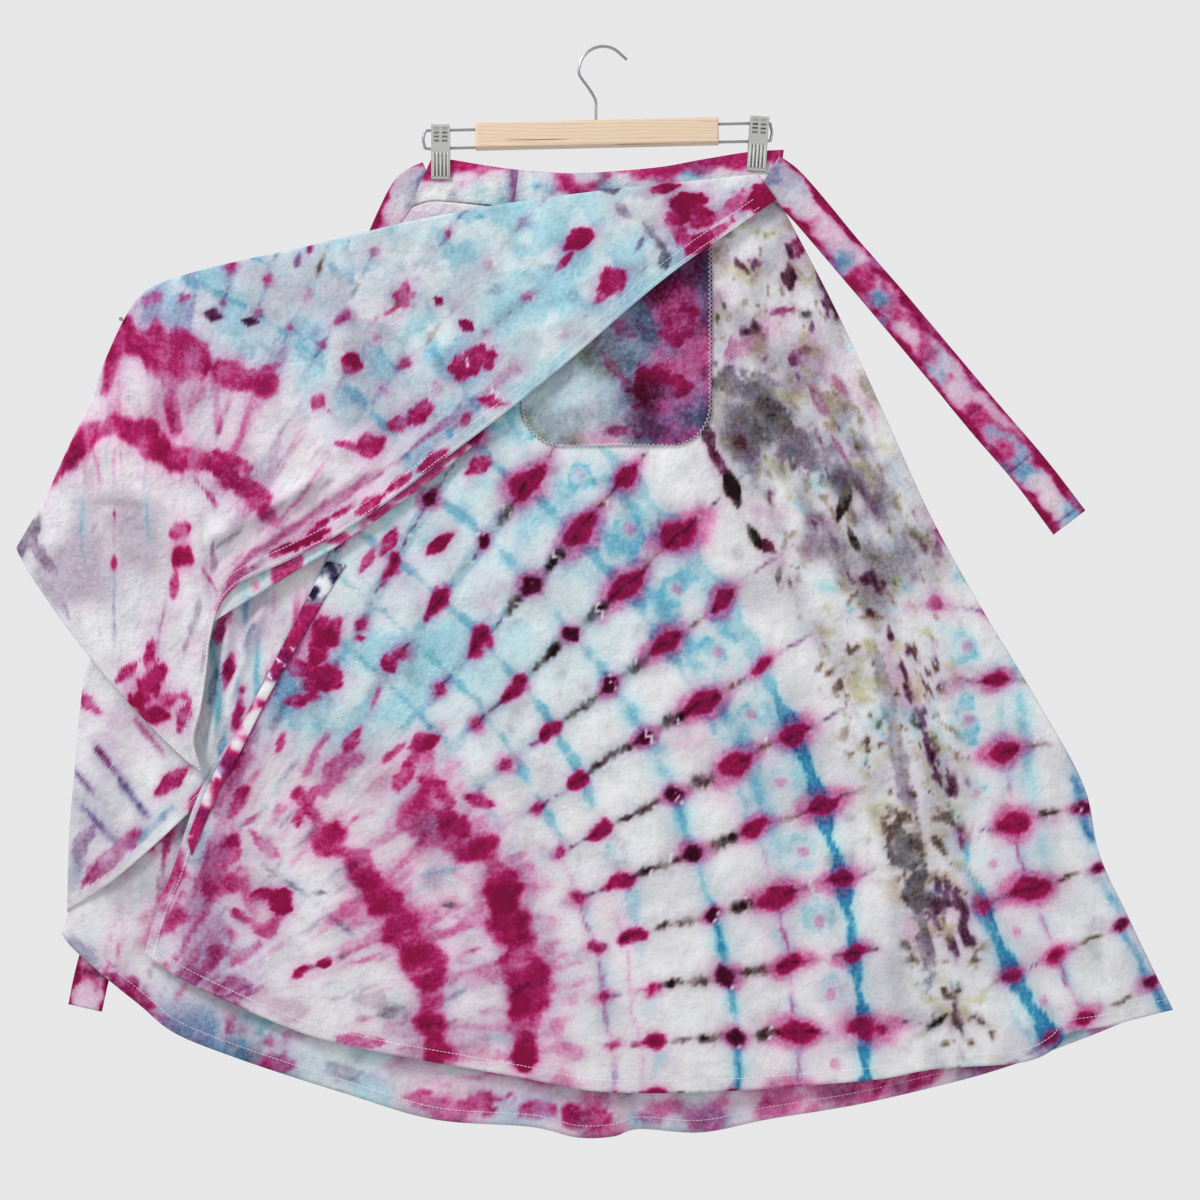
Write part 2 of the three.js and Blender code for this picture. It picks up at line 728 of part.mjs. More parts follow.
function toSolid(geometry) {
  const bare = geometry.clone();
  bare.deleteAttribute("normal");
  bare.deleteAttribute("uv");
  const merged = mergeVertices(bare);
  const mesh = new wasm.Mesh({
    numProp: 3,
    vertProperties: new Float32Array(merged.attributes.position.array),
    triVerts: new Uint32Array(merged.index.array),
  });
  return new wasm.Manifold(mesh);
}

function fromSolid(solid) {
  const mesh = solid.getMesh();
  const geometry = new THREE.BufferGeometry();
  geometry.setAttribute("position", new THREE.Float32BufferAttribute(mesh.vertProperties, 3));
  geometry.setIndex([...mesh.triVerts]);
  geometry.computeVertexNormals();
  return geometry;
}

// One half of a clip, in front (facing -1) or behind (facing 1), with its slots cut through.
function clipJaw(facing) {
  const inside = clip.springRadius + seamGap;
  const outside = inside + clip.plate;
  const tipInside = bandFace + bandWall + seamGap;
  const top = clip.height / 2;
  const tip = -clip.height / 2;
  const bend = tip + clip.jawTip + clip.jawBend;
  const outline = [
    [facing * inside, top],
    [facing * outside, top],
    [facing * outside, tip + clip.jawTip + clip.outerBend],
    [facing * (outside - clip.tipThinning), tip],
    [facing * tipInside, tip],
    [facing * tipInside, tip + clip.jawTip],
    [facing * inside, bend],
  ];
  let solid = toSolid(alongX(facing > 0 ? outline : outline.reverse(), clip.width));
  for (let column = 0; column < clipSlot.columns; column += 1) {
    for (let row = 0; row < clipSlot.rows; row += 1) {
      const slot = new THREE.BoxGeometry(clipSlot.width, 4 * clip.plate, clipSlot.height);
      const x = (column - (clipSlot.columns - 1) / 2) * (clip.width / 2 - 1);
      const z = top - clipSlot.fromTop - row * clipSlot.pitch;
      slot.translate(x, facing * (inside + clip.plate / 2), z);
      solid = solid.subtract(toSolid(slot));
    }
  }
  return fromSolid(solid);
}

// The flat spring between the jaws: a loop with round ends that rides between the two wires.
function clipSpring() {
  const halfHeight = wire.rise - wire.radius - springClearance;
  const endCentre = halfHeight - clip.springRadius;
  const outline = [];
  for (const end of [1, -1]) {
    for (let k = 0; k <= clip.springSteps; k += 1) {
      const angle = (Math.PI * k) / clip.springSteps;
      const y = end * clip.springRadius * Math.cos(angle);
      outline.push([y, end * (endCentre + clip.springRadius * Math.sin(angle))]);
    }
  }
  return alongX(outline, clip.springLength);
}

// The height of the middle of the two wires, at a place along the hanger.
function wireHeight(x) {
  return bar.z - wire.drop + (x - bar.x) * Math.tan(THREE.MathUtils.degToRad(bar.tiltDegrees));
}

function wallPin() {
  const profile = [
    new THREE.Vector2(0, 0),
    new THREE.Vector2(pin.headRadius, 0),
    new THREE.Vector2(pin.headRadius, pin.headDepth),
    new THREE.Vector2(pin.radius, pin.headDepth),
    new THREE.Vector2(pin.radius, pin.back - pin.front),
    new THREE.Vector2(0, pin.back - pin.front),
  ];
  return new THREE.LatheGeometry(profile, 10);
}

// ---- Assembly ----

const skirt = new THREE.Group();

function addPiece(parent, name, geometry, colour, roughness, metalness) {
  const material = new THREE.MeshStandardMaterial({ color: colour, roughness, metalness });
  const piece = new THREE.Mesh(geometry, material);
  piece.name = name;
  parent.add(piece);
  return piece;
}

function addCloth(name, geometry, colour) {
  return addPiece(skirt, name, geometry, colour, 0.9, 0);
}

function addMetal(parent, name, geometry, colour) {
  return addPiece(parent, name, geometry, colour, 0.35, 0.9);
}

const hanger = new THREE.Group();
hanger.position.set(bar.x, 0, bar.z);
hanger.rotation.y = -THREE.MathUtils.degToRad(bar.tiltDegrees);
skirt.add(hanger);
addPiece(hanger, "hanger_bar", barBlock(), colours.pine, 0.6, 0);
addMetal(hanger, "wire_left", sideWire(wire.leftEnd), colours.steel);
addMetal(hanger, "wire_right", sideWire(wire.rightEnd), colours.steel);
addMetal(skirt, "hanger_hook", hookWire(), colours.steel);

for (const place of clips) {
  const holder = new THREE.Group();
  holder.position.set(place.x, 0, place.z);
  holder.rotation.y = THREE.MathUtils.degToRad(place.leanDegrees);
  skirt.add(holder);
  addMetal(holder, `${place.name}_front`, clipJaw(-1), colours.clipMetal);
  addMetal(holder, `${place.name}_back`, clipJaw(1), colours.clipMetal);
  const spring = addMetal(holder, `${place.name}_spring`, clipSpring(), colours.steel);
  spring.position.z = wireHeight(place.x) - place.z;
}

const frontBandY = -bandFace - bandWall;
const lastWaistRow = waistRows.length - 1;
const joinGap = 0.01;
addCloth(
  "waistband_front_left",
  waistbandLength(0, bandJoinStation - joinGap, frontBandY, 7),
  colours.dyedBand,
);
addCloth(
  "waistband_front_right",
  waistbandLength(bandJoinStation, lastWaistRow, frontBandY, 14),
  colours.dyedBand,
);
addCloth("waistband_back", waistbandLength(0, lastWaistRow, bandFace, 18), colours.dyedBand);
addCloth("back_panel", backPanel(), colours.dyedPanel);
addCloth("over_panel_side", overPanelSide(), colours.dyedPanel);
addCloth("under_panel", underPanel(), colours.cotton);
addCloth("pocket_bag", pocketBag(), colours.dyedPocket);
addCloth("over_panel_flap", overPanelFlap(), colours.dyedPanel);
addCloth("tie_right", tieBand(rightTieRows, 28), colours.dyedBand);
addCloth("tie_left", tieBand(leftTieRows, 32), colours.dyedBand);

// The pin stands against the corner of the fold, where the wrap is held up.
const foldCurve = edgeCurve(flapRows.map((row) => ({ x: row.foldX, z: row.foldZ })));
const pinShare = pin.station / (flapRows.length - 1);
const pinSeat = foldCurve.getPoint(pinShare);
const pinRun = foldCurve.getTangent(pinShare);
const pinOut = pin.radius + clothWall / 2 + seamGap;
const pinPiece = addMetal(skirt, "wall_pin", wallPin(), colours.steel);
pinPiece.position.set(pinSeat.x + pinRun.y * pinOut, pin.front, pinSeat.y - pinRun.x * pinOut);

export default skirt;
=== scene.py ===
"""A tie-dyed wrap skirt hung flat from a wooden clip hanger, its wrap turned up and pinned open.

Lengths in the tables are millimetres, as in the part's source; add_solid turns them into metres.
The cloth is made from the same edges and creases as its solids, with finer creases added.
"""
import math
from collections import namedtuple

import bpy
import numpy as np
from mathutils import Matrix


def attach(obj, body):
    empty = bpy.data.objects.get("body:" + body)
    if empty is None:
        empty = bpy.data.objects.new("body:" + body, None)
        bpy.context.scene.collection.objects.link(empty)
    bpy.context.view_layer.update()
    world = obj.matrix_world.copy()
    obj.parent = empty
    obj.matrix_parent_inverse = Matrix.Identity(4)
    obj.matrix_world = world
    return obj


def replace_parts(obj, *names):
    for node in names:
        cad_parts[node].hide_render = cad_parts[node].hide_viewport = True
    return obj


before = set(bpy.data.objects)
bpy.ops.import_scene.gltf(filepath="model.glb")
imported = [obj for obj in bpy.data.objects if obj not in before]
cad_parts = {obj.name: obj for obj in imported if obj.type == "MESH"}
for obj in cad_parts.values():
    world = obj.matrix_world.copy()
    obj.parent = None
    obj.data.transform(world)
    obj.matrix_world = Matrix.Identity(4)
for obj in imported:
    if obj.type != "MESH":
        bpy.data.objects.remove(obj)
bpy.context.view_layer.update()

MM = 0.001
CLOTH = 1.0  # thickness of a panel
BAND = 2.2  # thickness of the waistband
SEAM_GAP = 0.3
BAND_FRONT_FACE, BAND_BACK_FACE = -2.6, 0.4  # depth of the front of each layer of the waistband
WAIST_DROP = 0.5

# ---------------------------------------------------------------- edges: x, z

WAIST = [  # top x, top z, seam x, seam z
    (-155, -99, -175, -144), (-137, -101, -154, -138), (-107, -106, -116, -141), (-77, -110, -82, -145),
    (-31, -113, -31, -149), (14, -111, 16, -147), (54, -107, 58, -143), (87, -101, 92, -137),
    (130, -94, 133, -131), (162, -92, 157, -130),
]
BAND_JOIN = 3  # the row where the band's two lengths are joined
FLAP = [  # fold x, fold z, free edge x, free edge z
    (138, -115, 155, -138), (86, -121, 118, -164), (5, -130, 49, -214), (-85, -142, -52, -301),
    (-176, -159, -137, -367), (-271, -182, -220, -428), (-344, -198, -274, -458),
    (-400, -215, -324, -482), (-424, -236, -344, -503), (-445, -278, -353, -534),
    (-461, -320, -356, -562), (-481, -363, -361, -595), (-503, -410, -367, -625),
    (-526, -450, -359, -652),
]
HEM_BULGE = 12.6
RETURN_DEPTH, RETURN_SHARE = 45, 0.7
ROLL_START, ROLL = 1.7, 2.6
FLAP_START, FLAP_FREE, FLAP_SETTLED = -8.1, -13.6, 2.2
FREE_EDGE = [
    (-171, -305), (-251, -463), (-288, -535), (-326, -606), (-354, -651), (-369, -682),
    (-389, -742), (-404, -778), (-414, -817),
]
RIGHT_SIDE = [
    (205, -228), (248, -320), (293, -419), (338, -501), (388, -584), (432, -664),
    (447, -728), (479, -797), (513, -867),
]
UNDER_HEM = [
    (-380, -839), (-328, -864), (-267, -889), (-206, -904), (-82, -926), (-4, -940), (100, -940),
    (238, -930), (296, -920), (375, -914), (406, -901), (420, -887), (458, -880),
]
LEFT_SIDE = [
    (-274, -291), (-373, -426), (-446, -520), (-466, -560), (-473, -603), (-477, -650),
    (-482, -709), (-484, -778),
]
BACK_LEFT, BACK_RIGHT = (-490, -797), (504, -863)
BACK_HEM = [
    (-477, -814), (-424, -861), (-387, -890), (-329, -913), (-237, -943), (-156, -967), (-67, -974),
    (-25, -984), (8, -983), (32, -976), (89, -979), (151, -967), (238, -952), (341, -927), (434, -894),
]
FLAP_STRIP_SHOWN = [
    (-118, -360), (-150, -386), (-200, -423), (-237, -448), (-275, -471), (-311, -493), (-352, -518),
]
FLAP_STRIP_HIDDEN = [
    (-130, -352), (-162, -374), (-206, -402), (-242, -424), (-282, -442), (-322, -460), (-352, -515),
]
EDGE_STRIP_SHOWN = [
    (-232, -466), (-256, -504), (-287, -558), (-306, -592), (-330, -640), (-350, -678), (-371, -728),
]
EDGE_STRIP_HIDDEN = [
    (-250, -463), (-273, -508), (-300, -560), (-316, -590), (-338, -630), (-356, -664), (-375, -712),
]
SIDE_HEM = [(-459, -763), (-433, -743), (-400, -714), (-364, -680)]
SIDE_INNER = [(-157, -305), (-233, -475), (-274, -547), (-305, -601), (-319, -639)]
RIGHT_TIE = [  # x, z, width, y
    (148, -114, 38, -3.9), (163, -124, 36, -4.3), (184, -146, 34, -4.6), (215, -183, 33, -5.2),
    (257, -232, 34, -6.0), (301, -284, 34, -5.0), (343, -334, 35, -3.6), (383, -381, 35, -5.4),
    (419, -428, 36, -4.0),
]
LEFT_TIE = [
    (-157, -118, 34, 2.9), (-174, -127, 34, 3.0), (-188, -150, 32, 3.2), (-203, -185, 33, 4.6),
    (-247, -291, 34, 7.4), (-319, -462, 34, 10.6), (-386, -633, 34, 12.0), (-438, -772, 33, 12.6),
    (-460, -822, 32, 12.8), (-471, -868, 31, 13.0),
]
POCKET_X, POCKET_HALF, POCKET_TOP, POCKET_BOTTOM, POCKET_CORNER = 11, 86, -152, -359, 36

# ---------------------------------------------------------------- creases


def named(kind, table):
    """A table's plain rows as rows of one kind."""
    return [kind(*row) for row in table]


Crease = namedtuple("Crease", "x0 z0 x1 z1 width lift")  # a lift above 0 stands towards the front
UNDER_CREASES = named(Crease, [
    (198, -436, 320, -852, 9, -2.2), (214, -436, 340, -852, 14, 3), (60, -400, 100, -930, 40, 2),
    (-60, -470, -110, -900, 45, 1.8), (150, -400, 190, -900, 30, -1.4), (300, -520, 440, -880, 26, 2),
    (-210, -620, -270, -870, 30, 2), (378, -780, 413, -890, 12, -2.4),
])
UNDER_FINE = named(Crease, [
    (118, -190, 170, -330, 7, 0.9), (128, -330, 205, -440, 9, -0.8), (96, -380, 120, -520, 12, 0.7),
    (-170, -500, -230, -660, 14, 0.8), (-250, -560, -350, -760, 9, -0.7), (-40, -600, 40, -790, 16, 0.6),
    (250, -470, 300, -640, 10, 0.8), (-330, -700, -385, -810, 8, 0.9), (150, -870, 330, -885, 6, -0.5),
    (-60, -905, 130, -912, 5, 0.5), (330, -640, 372, -790, 10, -0.8), (410, -690, 470, -850, 12, 0.7),
])
BACK_CREASES = named(Crease, [
    (-433, -743, -412, -880, 18, -3), (-330, -500, -360, -900, 34, -3), (-150, -420, -190, -960, 42, -3.4),
    (-20, -380, -20, -985, 36, -3.8), (110, -420, 130, -970, 38, -3.4), (220, -460, 300, -940, 40, -3.2),
    (300, -560, 410, -900, 26, -2.4),
])
BACK_FINE = named(Crease, [
    (-90, -260, -130, -620, 12, 1), (60, -300, 90, -700, 14, -1), (-250, -430, -300, -800, 13, 0.9),
    (160, -420, 220, -840, 11, 0.9), (-20, -650, 10, -960, 10, 0.8), (340, -650, 400, -880, 12, -0.8),
    (-410, -640, -440, -840, 9, 0.8),
])
FLAP_CREASES = named(Crease, [
    (-255, -388, -335, -465, 15, 4.2), (-346, -399, -361, -451, 9, -1.8),
    (-361, -451, -319, -462, 8, -1.8), (90, -160, -180, -330, 18, 1.4), (60, -145, -280, -270, 22, 1.2),
    (-424, -290, -440, -560, 17, 2.4), (-385, -310, -392, -600, 14, -1.6),
])
FLAP_FINE = named(Crease, [
    (-248, -384, -359, -446, 9, 8), (-262, -410, -350, -468, 6, -3.5), (-200, -372, -318, -452, 6, 2.4),
    (-362, -330, -376, -420, 8, 2), (-359, -424, -350, -500, 5, -3.5), (-461, -411, -405, -416, 4, -2),
    (-440, -352, -446, -408, 14, 2.2), (-402, -352, -412, -408, 13, 2.2), (-180, -330, -250, -372, 7, 2),
    (-60, -215, -180, -300, 8, 1.6), (60, -170, -40, -250, 7, 1.4), (-330, -250, -200, -330, 9, 1.2),
    (110, -138, -60, -235, 5, 0.8), (100, -150, -20, -232, 5, -0.7), (40, -150, -230, -225, 9, 0.7),
    (-60, -250, -300, -400, 11, 0.9), (-120, -330, -330, -470, 8, -1), (-270, -400, -345, -520, 6, 1.2),
    (-300, -380, -352, -440, 5, -0.9), (-470, -400, -395, -590, 10, 0.9),
    (-380, -470, -372, -620, 6, -0.9), (-400, -240, -300, -330, 12, 0.8), (-410, -225, -230, -205, 8, 0.9),
])
SIDE_CREASES = named(Crease, [
    (-335, -498, -355, -642, 5, 5.4), (-321, -498, -350, -624, 4, -0.8), (-305, -498, -338, -588, 5, 4.6),
    (-440, -560, -450, -740, 22, 1.8), (-395, -560, -400, -700, 16, 1.6),
])

# ---------------------------------------------------------------- small helpers


def smooth(value, low, high):
    """0 up to low, 1 from high on, and a soft step between."""
    share = np.clip((value - low) / (high - low), 0, 1)
    return share * share * (3 - 2 * share)


def fall(value, low, high):
    """1 up to low, and 0 from high on."""
    return 1 - smooth(value, low, high)


def bell(value, width):
    return np.exp(-((value / width) ** 2))


def mix(a, b, share):
    return a + (b - a) * share


def spline(points, place):
    """Points of a Catmull-Rom curve; place runs from 0 to the number of spans."""
    points = np.asarray(points, float)
    last = len(points) - 1
    place = np.clip(place, 0, last)
    i = np.minimum(place.astype(int), last - 1)
    f = (place - i)[:, None]
    p0, p1, p2, p3 = (points[np.clip(i + k, 0, last)] for k in (-1, 0, 1, 2))
    v0, v1 = (p2 - p0) / 2, (p3 - p1) / 2
    return (2 * p1 - 2 * p2 + v0 + v1) * f**3 + (-3 * p1 + 3 * p2 - 2 * v0 - v1) * f**2 + v0 * f + p1


def evenly(path, count):
    """count + 1 points at equal steps along a path of points."""
    lengths = np.r_[0, np.cumsum(np.linalg.norm(np.diff(path, axis=0), axis=1))]
    at = np.linspace(0, lengths[-1], count + 1)
    return np.stack([np.interp(at, lengths, column) for column in path.T], axis=1)


def edge(points, count):
    fine = spline(points, np.linspace(0, len(points) - 1, 60 * len(points)))
    return evenly(fine, count)


def x_at(points, z):
    """The x of an edge, given from its top down, at a height."""
    rows = np.asarray(points, float)[::-1]
    return np.interp(z, rows[:, 1], rows[:, 0])


def crease_lift(creases, x, z):
    lift = np.zeros_like(x)
    for c in creases:
        run_x, run_z = c.x1 - c.x0, c.z1 - c.z0
        length = math.hypot(run_x, run_z)
        along = ((x - c.x0) * run_x + (z - c.z0) * run_z) / length**2
        across = ((x - c.x0) * run_z - (z - c.z0) * run_x) / length
        ends = smooth(along, -0.15, 0.25) * fall(along, 0.85, 1.15)
        lift += c.lift * ends * bell(across, c.width)
    return lift


def noise(x, z, size, seed, octaves=3):
    """Smooth noise from -1 to 1 whose largest features are about size millimetres across."""
    table = np.random.RandomState(seed).uniform(-1, 1, (256, 256))
    total, gain, reach = 0, 1.0, 0.0
    for octave in range(octaves):
        u = x / size * 2**octave + 37.7 * octave + 1000
        v = z / size * 2**octave + 11.3 * octave + 1000
        i, j = np.floor(u).astype(int), np.floor(v).astype(int)
        fu, fv = u - i, v - j
        fu, fv = fu * fu * (3 - 2 * fu), fv * fv * (3 - 2 * fv)
        corner = lambda a, b: table[(i + a) % 256, (j + b) % 256]
        low = mix(corner(0, 0), corner(1, 0), fu)
        high = mix(corner(0, 1), corner(1, 1), fu)
        total = total + gain * mix(low, high, fv)
        reach += gain
        gain /= 2
    return total / reach


def patches(x, z, size, seed, low, high):
    """Patches of noise, 0 where it is under low and 1 where it is over high."""
    return smooth(noise(x, z, size, seed), low, high)


# ---------------------------------------------------------------- depth of each panel's front face

WAIST_SEAM = edge([(row[2], row[3]) for row in WAIST], 200)


def waist_point(x):
    return (x, float(np.interp(x, WAIST_SEAM[:, 0], WAIST_SEAM[:, 1])) - WAIST_DROP)


TOP_LEFT, TOP_RIGHT = waist_point(-172), waist_point(154)
UNDER_TOP, SIDE_TOP = waist_point(-94), waist_point(-80)
RIGHT_EDGE = [TOP_RIGHT] + RIGHT_SIDE
LEFT_EDGE = [TOP_LEFT] + LEFT_SIDE + [BACK_LEFT]
UNDER_EDGE = [UNDER_TOP] + FREE_EDGE


SIDE_SEAM, BACK_SEAM = -1.15, 0.15  # depth of the front panels and of the back one at the side seams
UNDER_FREE, SIDE_HANG = -2.9, -1.3  # depth at the under panel's free edge, and of the side panel
UNDER_HANG, BACK_HANG = (-2.6, -4.6), (0.9, 4.6)  # depth at the waist, and where the cloth hangs free


def under_face(x, z):
    from_side = smooth(x_at(RIGHT_EDGE, z) - x, 0, 70)
    from_edge = smooth(x - x_at(UNDER_EDGE, z), 0, 40)
    hang = mix(*UNDER_HANG, smooth(-z, 140, 380))
    lifted = hang - crease_lift(UNDER_CREASES, x, z) - crease_lift(UNDER_FINE, x, z)
    return mix(SIDE_SEAM, mix(UNDER_FREE, lifted, from_edge), from_side)


def back_face(x, z):
    from_right = smooth(x_at(RIGHT_EDGE, z) - x, 0, 80)
    from_left = smooth(x - x_at(LEFT_EDGE, z), 0, 80)
    hang = mix(*BACK_HANG, smooth(-z, 140, 420))
    lifted = hang - crease_lift(BACK_CREASES + BACK_FINE, x, z)
    return mix(BACK_SEAM, lifted, np.minimum(from_right, from_left))


def side_face(x, z):
    from_left = smooth(x - x_at(LEFT_EDGE, z), 0, 40)
    from_edge = smooth(x_at(UNDER_EDGE, z) - x, 0, 26)
    lift = crease_lift(SIDE_CREASES, x, z) * np.minimum(from_left, from_edge)
    return mix(SIDE_SEAM, SIDE_HANG - lift, from_left)


def flap_depth(x, z, station):
    settled = smooth(station, 0, FLAP_SETTLED)
    lift = crease_lift(FLAP_CREASES + FLAP_FINE, x, z)
    return mix(FLAP_START, FLAP_FREE, settled) - lift * settled


# ---------------------------------------------------------------- dye

# The dye of a fan-folded cloth: rings round the fold's centre, crossed by rows that fan out from it.
# A ring grows from its radius by its drift times the angle squared. It is strong between two angles.
Ring = namedtuple("Ring", "kind radius drift long wide low high magenta aqua dark")
UNDER_RINGS = named(Ring, [
    ("arc", 320, 0, 9, 9, -9, 44, 0.42, 0, 0),
    ("arc", 424, 0, 11, 12, -9, 40, 0.42, 0, 0),
    ("spot", 474, 0.003, 7, 8, -9, 74, 0.75, 0.15, 0.12),
    ("thread", 474, 0.003, 2.6, 0, -9, 26, 0.5, 0, 0),
    ("thread", 500, 0.003, 2.2, 0, -9, 20, 0.32, 0, 0),
    ("flame", 516, 0.009, 14, 12, -9, 80, 1, 0.1, 0.08),
    ("dash", 538, 0.009, 10, 3.4, -9, 44, 0.3, 0.1, 0.85),
    ("dash", 560, 0.007, 13, 4.6, -9, 50, 0.35, 0.1, 0.95),
    ("mark", 584, 0.0077, 9, 10, -9, 70, 1, 0.4, 0.8),
    ("thread", 585, 0.0077, 5.5, 0, -9, 26, 0, 1.05, 0),
    ("thread", 585, 0.0077, 11, 0, 16, 60, 0, 0.62, 0),
    ("dash", 613, 0.0085, 14, 5.2, -9, 52, 0.2, 0.1, 1),
    ("star", 642, 0.0117, 19, 13, -9, 70, 1, 0, 0.04),
    ("thread", 642, 0.0117, 2.6, 0, -9, 18, 0.55, 0, 0),
    ("thread", 656, 0.012, 14, 0, 18, 70, 0.06, 0.66, 0),
    ("thread", 690, 0.013, 11, 0, 22, 70, 0.04, 0.6, 0),
    ("oval", 674, 0.013, 18, 15, 6, 30, 0, 0.42, 0),
    ("oval", 672, 0.013, 18, 15, 26, 60, 0, 0.7, 0),
    ("disc", 674, 0.013, 7, 6.5, -9, 50, 0.36, 0, 0),
    ("dash", 672, 0.013, 10, 2.4, 20, 60, 0.45, 0.1, 0.45),
    ("chain", 702, 0.014, 13, 9.5, -9, 30, 0, 1.1, 0),
    ("chain", 702, 0.014, 12, 12, 22, 60, 0, 0.5, 0),
    ("star", 702, 0.014, 15, 13, -9, 60, 1, 0.05, 0.05),
])
MIRROR_RINGS = named(Ring, [
    ("mark", 569, 0, 8, 7, 9, 60, 0.9, 0.4, 0.55),
    ("thread", 569, 0, 6, 0, 3, 60, 0.3, 1, 0),
    ("dash", 599, 0, 11, 2.4, -9, 40, 0.2, 0.1, 0.6),
    ("star", 632, 0.004, 15, 12, -40, 60, 1, 0, 0.03),
    ("thread", 632, 0.004, 3, 0, 9, 60, 0.55, 0, 0),
    ("thread", 612, 0, 9, 0, -20, 16, 0, 0.5, 0),
    ("disc", 661, 0, 6.5, 6.5, -40, 40, 0.36, 0, 0),
    ("oval", 664, -0.01, 18, 15, -40, 12, 0, 0.6, 0),
    ("chain", 690, -0.022, 13, 10, 0, 60, 0, 1.1, 0),
    ("star", 691, -0.022, 11, 11, -40, 60, 0.9, 0.15, 0.08),
])
FLAP_RINGS = named(Ring, [
    ("spot", 372, 0, 5, 6, 30, 84, 0.5, 0.3, 0.3),
    ("dash", 436, 0, 10, 2.2, 30, 84, 0.3, 0.35, 0.35),
    ("spot", 470, 0, 5, 7, 30, 66, 0.5, 0.3, 0.4),
    ("thread", 436, 0, 9, 0, 30, 84, 0, 0.35, 0),
    ("thread", 520, 0, 14, 0, 30, 84, 0, 0.4, 0),
    ("star", 404, 0, 7, 8, 28, 84, 0.7, 0.3, 0.25),
    ("mark", 520, 0, 6, 6, 26, 70, 0.7, 0.3, 0.4),
    ("spot", 570, 0, 6, 7, 26, 70, 0.45, 0.3, 0.3),
])
BACK_RINGS = named(Ring, [
    ("arc", 300, 0, 16, 20, -9, 100, 0.72, 0, 0.05),
    ("arc", 420, 0, 14, 18, -9, 70, 0.7, 0, 0),
    ("flame", 520, 0.008, 14, 10, -9, 100, 0.95, 0.1, 0.05),
    ("dash", 560, 0.008, 11, 3.2, -9, 100, 0.2, 0.2, 0.7),
    ("mark", 590, 0.008, 7, 6, -9, 100, 0.8, 0.55, 0.7),
    ("thread", 590, 0.008, 6, 0, -9, 100, 0, 0.7, 0),
    ("star", 650, 0.008, 12, 12, -9, 100, 0.95, 0, 0.05),
    ("chain", 720, 0.006, 12, 10, -9, 100, 0, 0.7, 0),
    ("star", 720, 0.006, 10, 10, -9, 100, 0.9, 0.15, 0.08),
    ("flame", 800, 0.004, 14, 10, -9, 100, 0.9, 0.1, 0.05),
    ("mark", 880, 0.004, 7, 6, -9, 100, 0.8, 0.5, 0.6),
])
CELL = 44  # the length of a cell where no ring sets it
# A fan is washed with aqua and marked into puffed-looking cells, with painted shade at their borders, from
# wash_low to wash_high, and high up it starts nearer to the centre by early. wash and rows are how strong its
# puffs and its stitched rows are.
Fan = namedtuple("Fan", "x z turn_x turn_z first pitch wash_low wash_high early wash rows seed")
UNDER_FAN = Fan(-467, -934, 1, 1, 4.3, 5.5, 440, 690, 80, 0.6, 0.75, 10)
MIRROR_FAN = Fan(986, -561, -1, -1, 0.9, 5.75, 560, 690, 80, 0.25, 0.65, 20)
FLAP_FAN = Fan(-438, -592, 1, 1, 3.8, 5.1, 320, 720, 0, 0.5, 0.5, 30)
BACK_FAN = Fan(-470, -1010, 1, 1, 4.0, 5.5, 440, 900, 80, 0.5, 0.6, 50)
BACK_MIRROR = Fan(560, -1010, -1, 1, 4.0, 5.5, 440, 900, 80, 0.5, 0.6, 50)


class Dye:
    """Amounts of each dye over a grid of points, from 0 to about 1. The dark amount also holds the painted
    shade of some marks.
    """

    def __init__(self, x):
        self.magenta, self.aqua, self.dark, self.olive = (np.zeros_like(x) for _ in range(4))
        self.bare = np.zeros_like(x)  # where tied thread kept all dye out

    def parts(self):
        return self.magenta, self.aqua, self.dark, self.olive

    def add(self, amount, magenta=0.0, aqua=0.0, dark=0.0, olive=0.0):
        for field, share in zip(self.parts(), (magenta, aqua, dark, olive)):
            if share:
                np.maximum(field, amount * share, out=field)

    def layer(self, other, weight):
        for mine, theirs in zip(self.parts(), other.parts()):
            mine += theirs * weight
        self.bare += other.bare * weight

    def lighten(self, amount):
        for field in self.parts():
            field *= 1 - np.clip(amount, 0, 1)

    def bleed(self, x, z, reach, seed, halo=0.5):
        """Dye creeps outwards: a pale fringe round each mark, bluer where magenta is heavy."""
        patch = noise(x, z, 24, seed)
        near, far = spread(self.magenta, reach), spread(self.magenta, 3 * reach)
        np.maximum(self.magenta, 0.62 * near + 0.10 * far, out=self.magenta)
        np.maximum(self.aqua, 0.8 * spread(self.aqua, reach), out=self.aqua)
        self.aqua += far * np.clip(0.06 + halo * patch, 0, 1) * (1 - np.clip(self.magenta, 0, 1))
        np.maximum(self.dark, 0.55 * spread(self.dark, max(1, reach // 2)), out=self.dark)
        self.dark += 0.05 * far
        self.aqua *= 1 - 0.7 * smooth(self.magenta, 0.3, 0.8)
        self.lighten(self.bare)


def spread(field, reach):
    """A field of a grid, evened out over some steps each way, twice over."""
    width = 2 * reach + 1
    for _ in range(2):
        for axis in (0, 1):
            edges = [(reach + 1, reach) if axis == k else (0, 0) for k in (0, 1)]
            total = np.cumsum(np.pad(field, edges, mode="edge"), axis=axis)
            size = field.shape[axis]
            upto, before = np.take(total, range(width, width + size), axis), np.take(total, range(size), axis)
            field = (upto - before) / width
    return field


def leaf(along, across, long, wide):
    """How far out a point lies in a leaf with pointed ends: 0 in its middle, 1 at its edge."""
    return (np.abs(along) / long) ** 1.15 + (np.abs(across) / wide) ** 1.5


def wavy(value, x, z, seed):
    """A coordinate of the fold, pulled about as creased cloth pulls it."""
    return value + 4.0 * noise(x, z, 48, seed) + 2.6 * noise(x, z, 14, seed + 1)


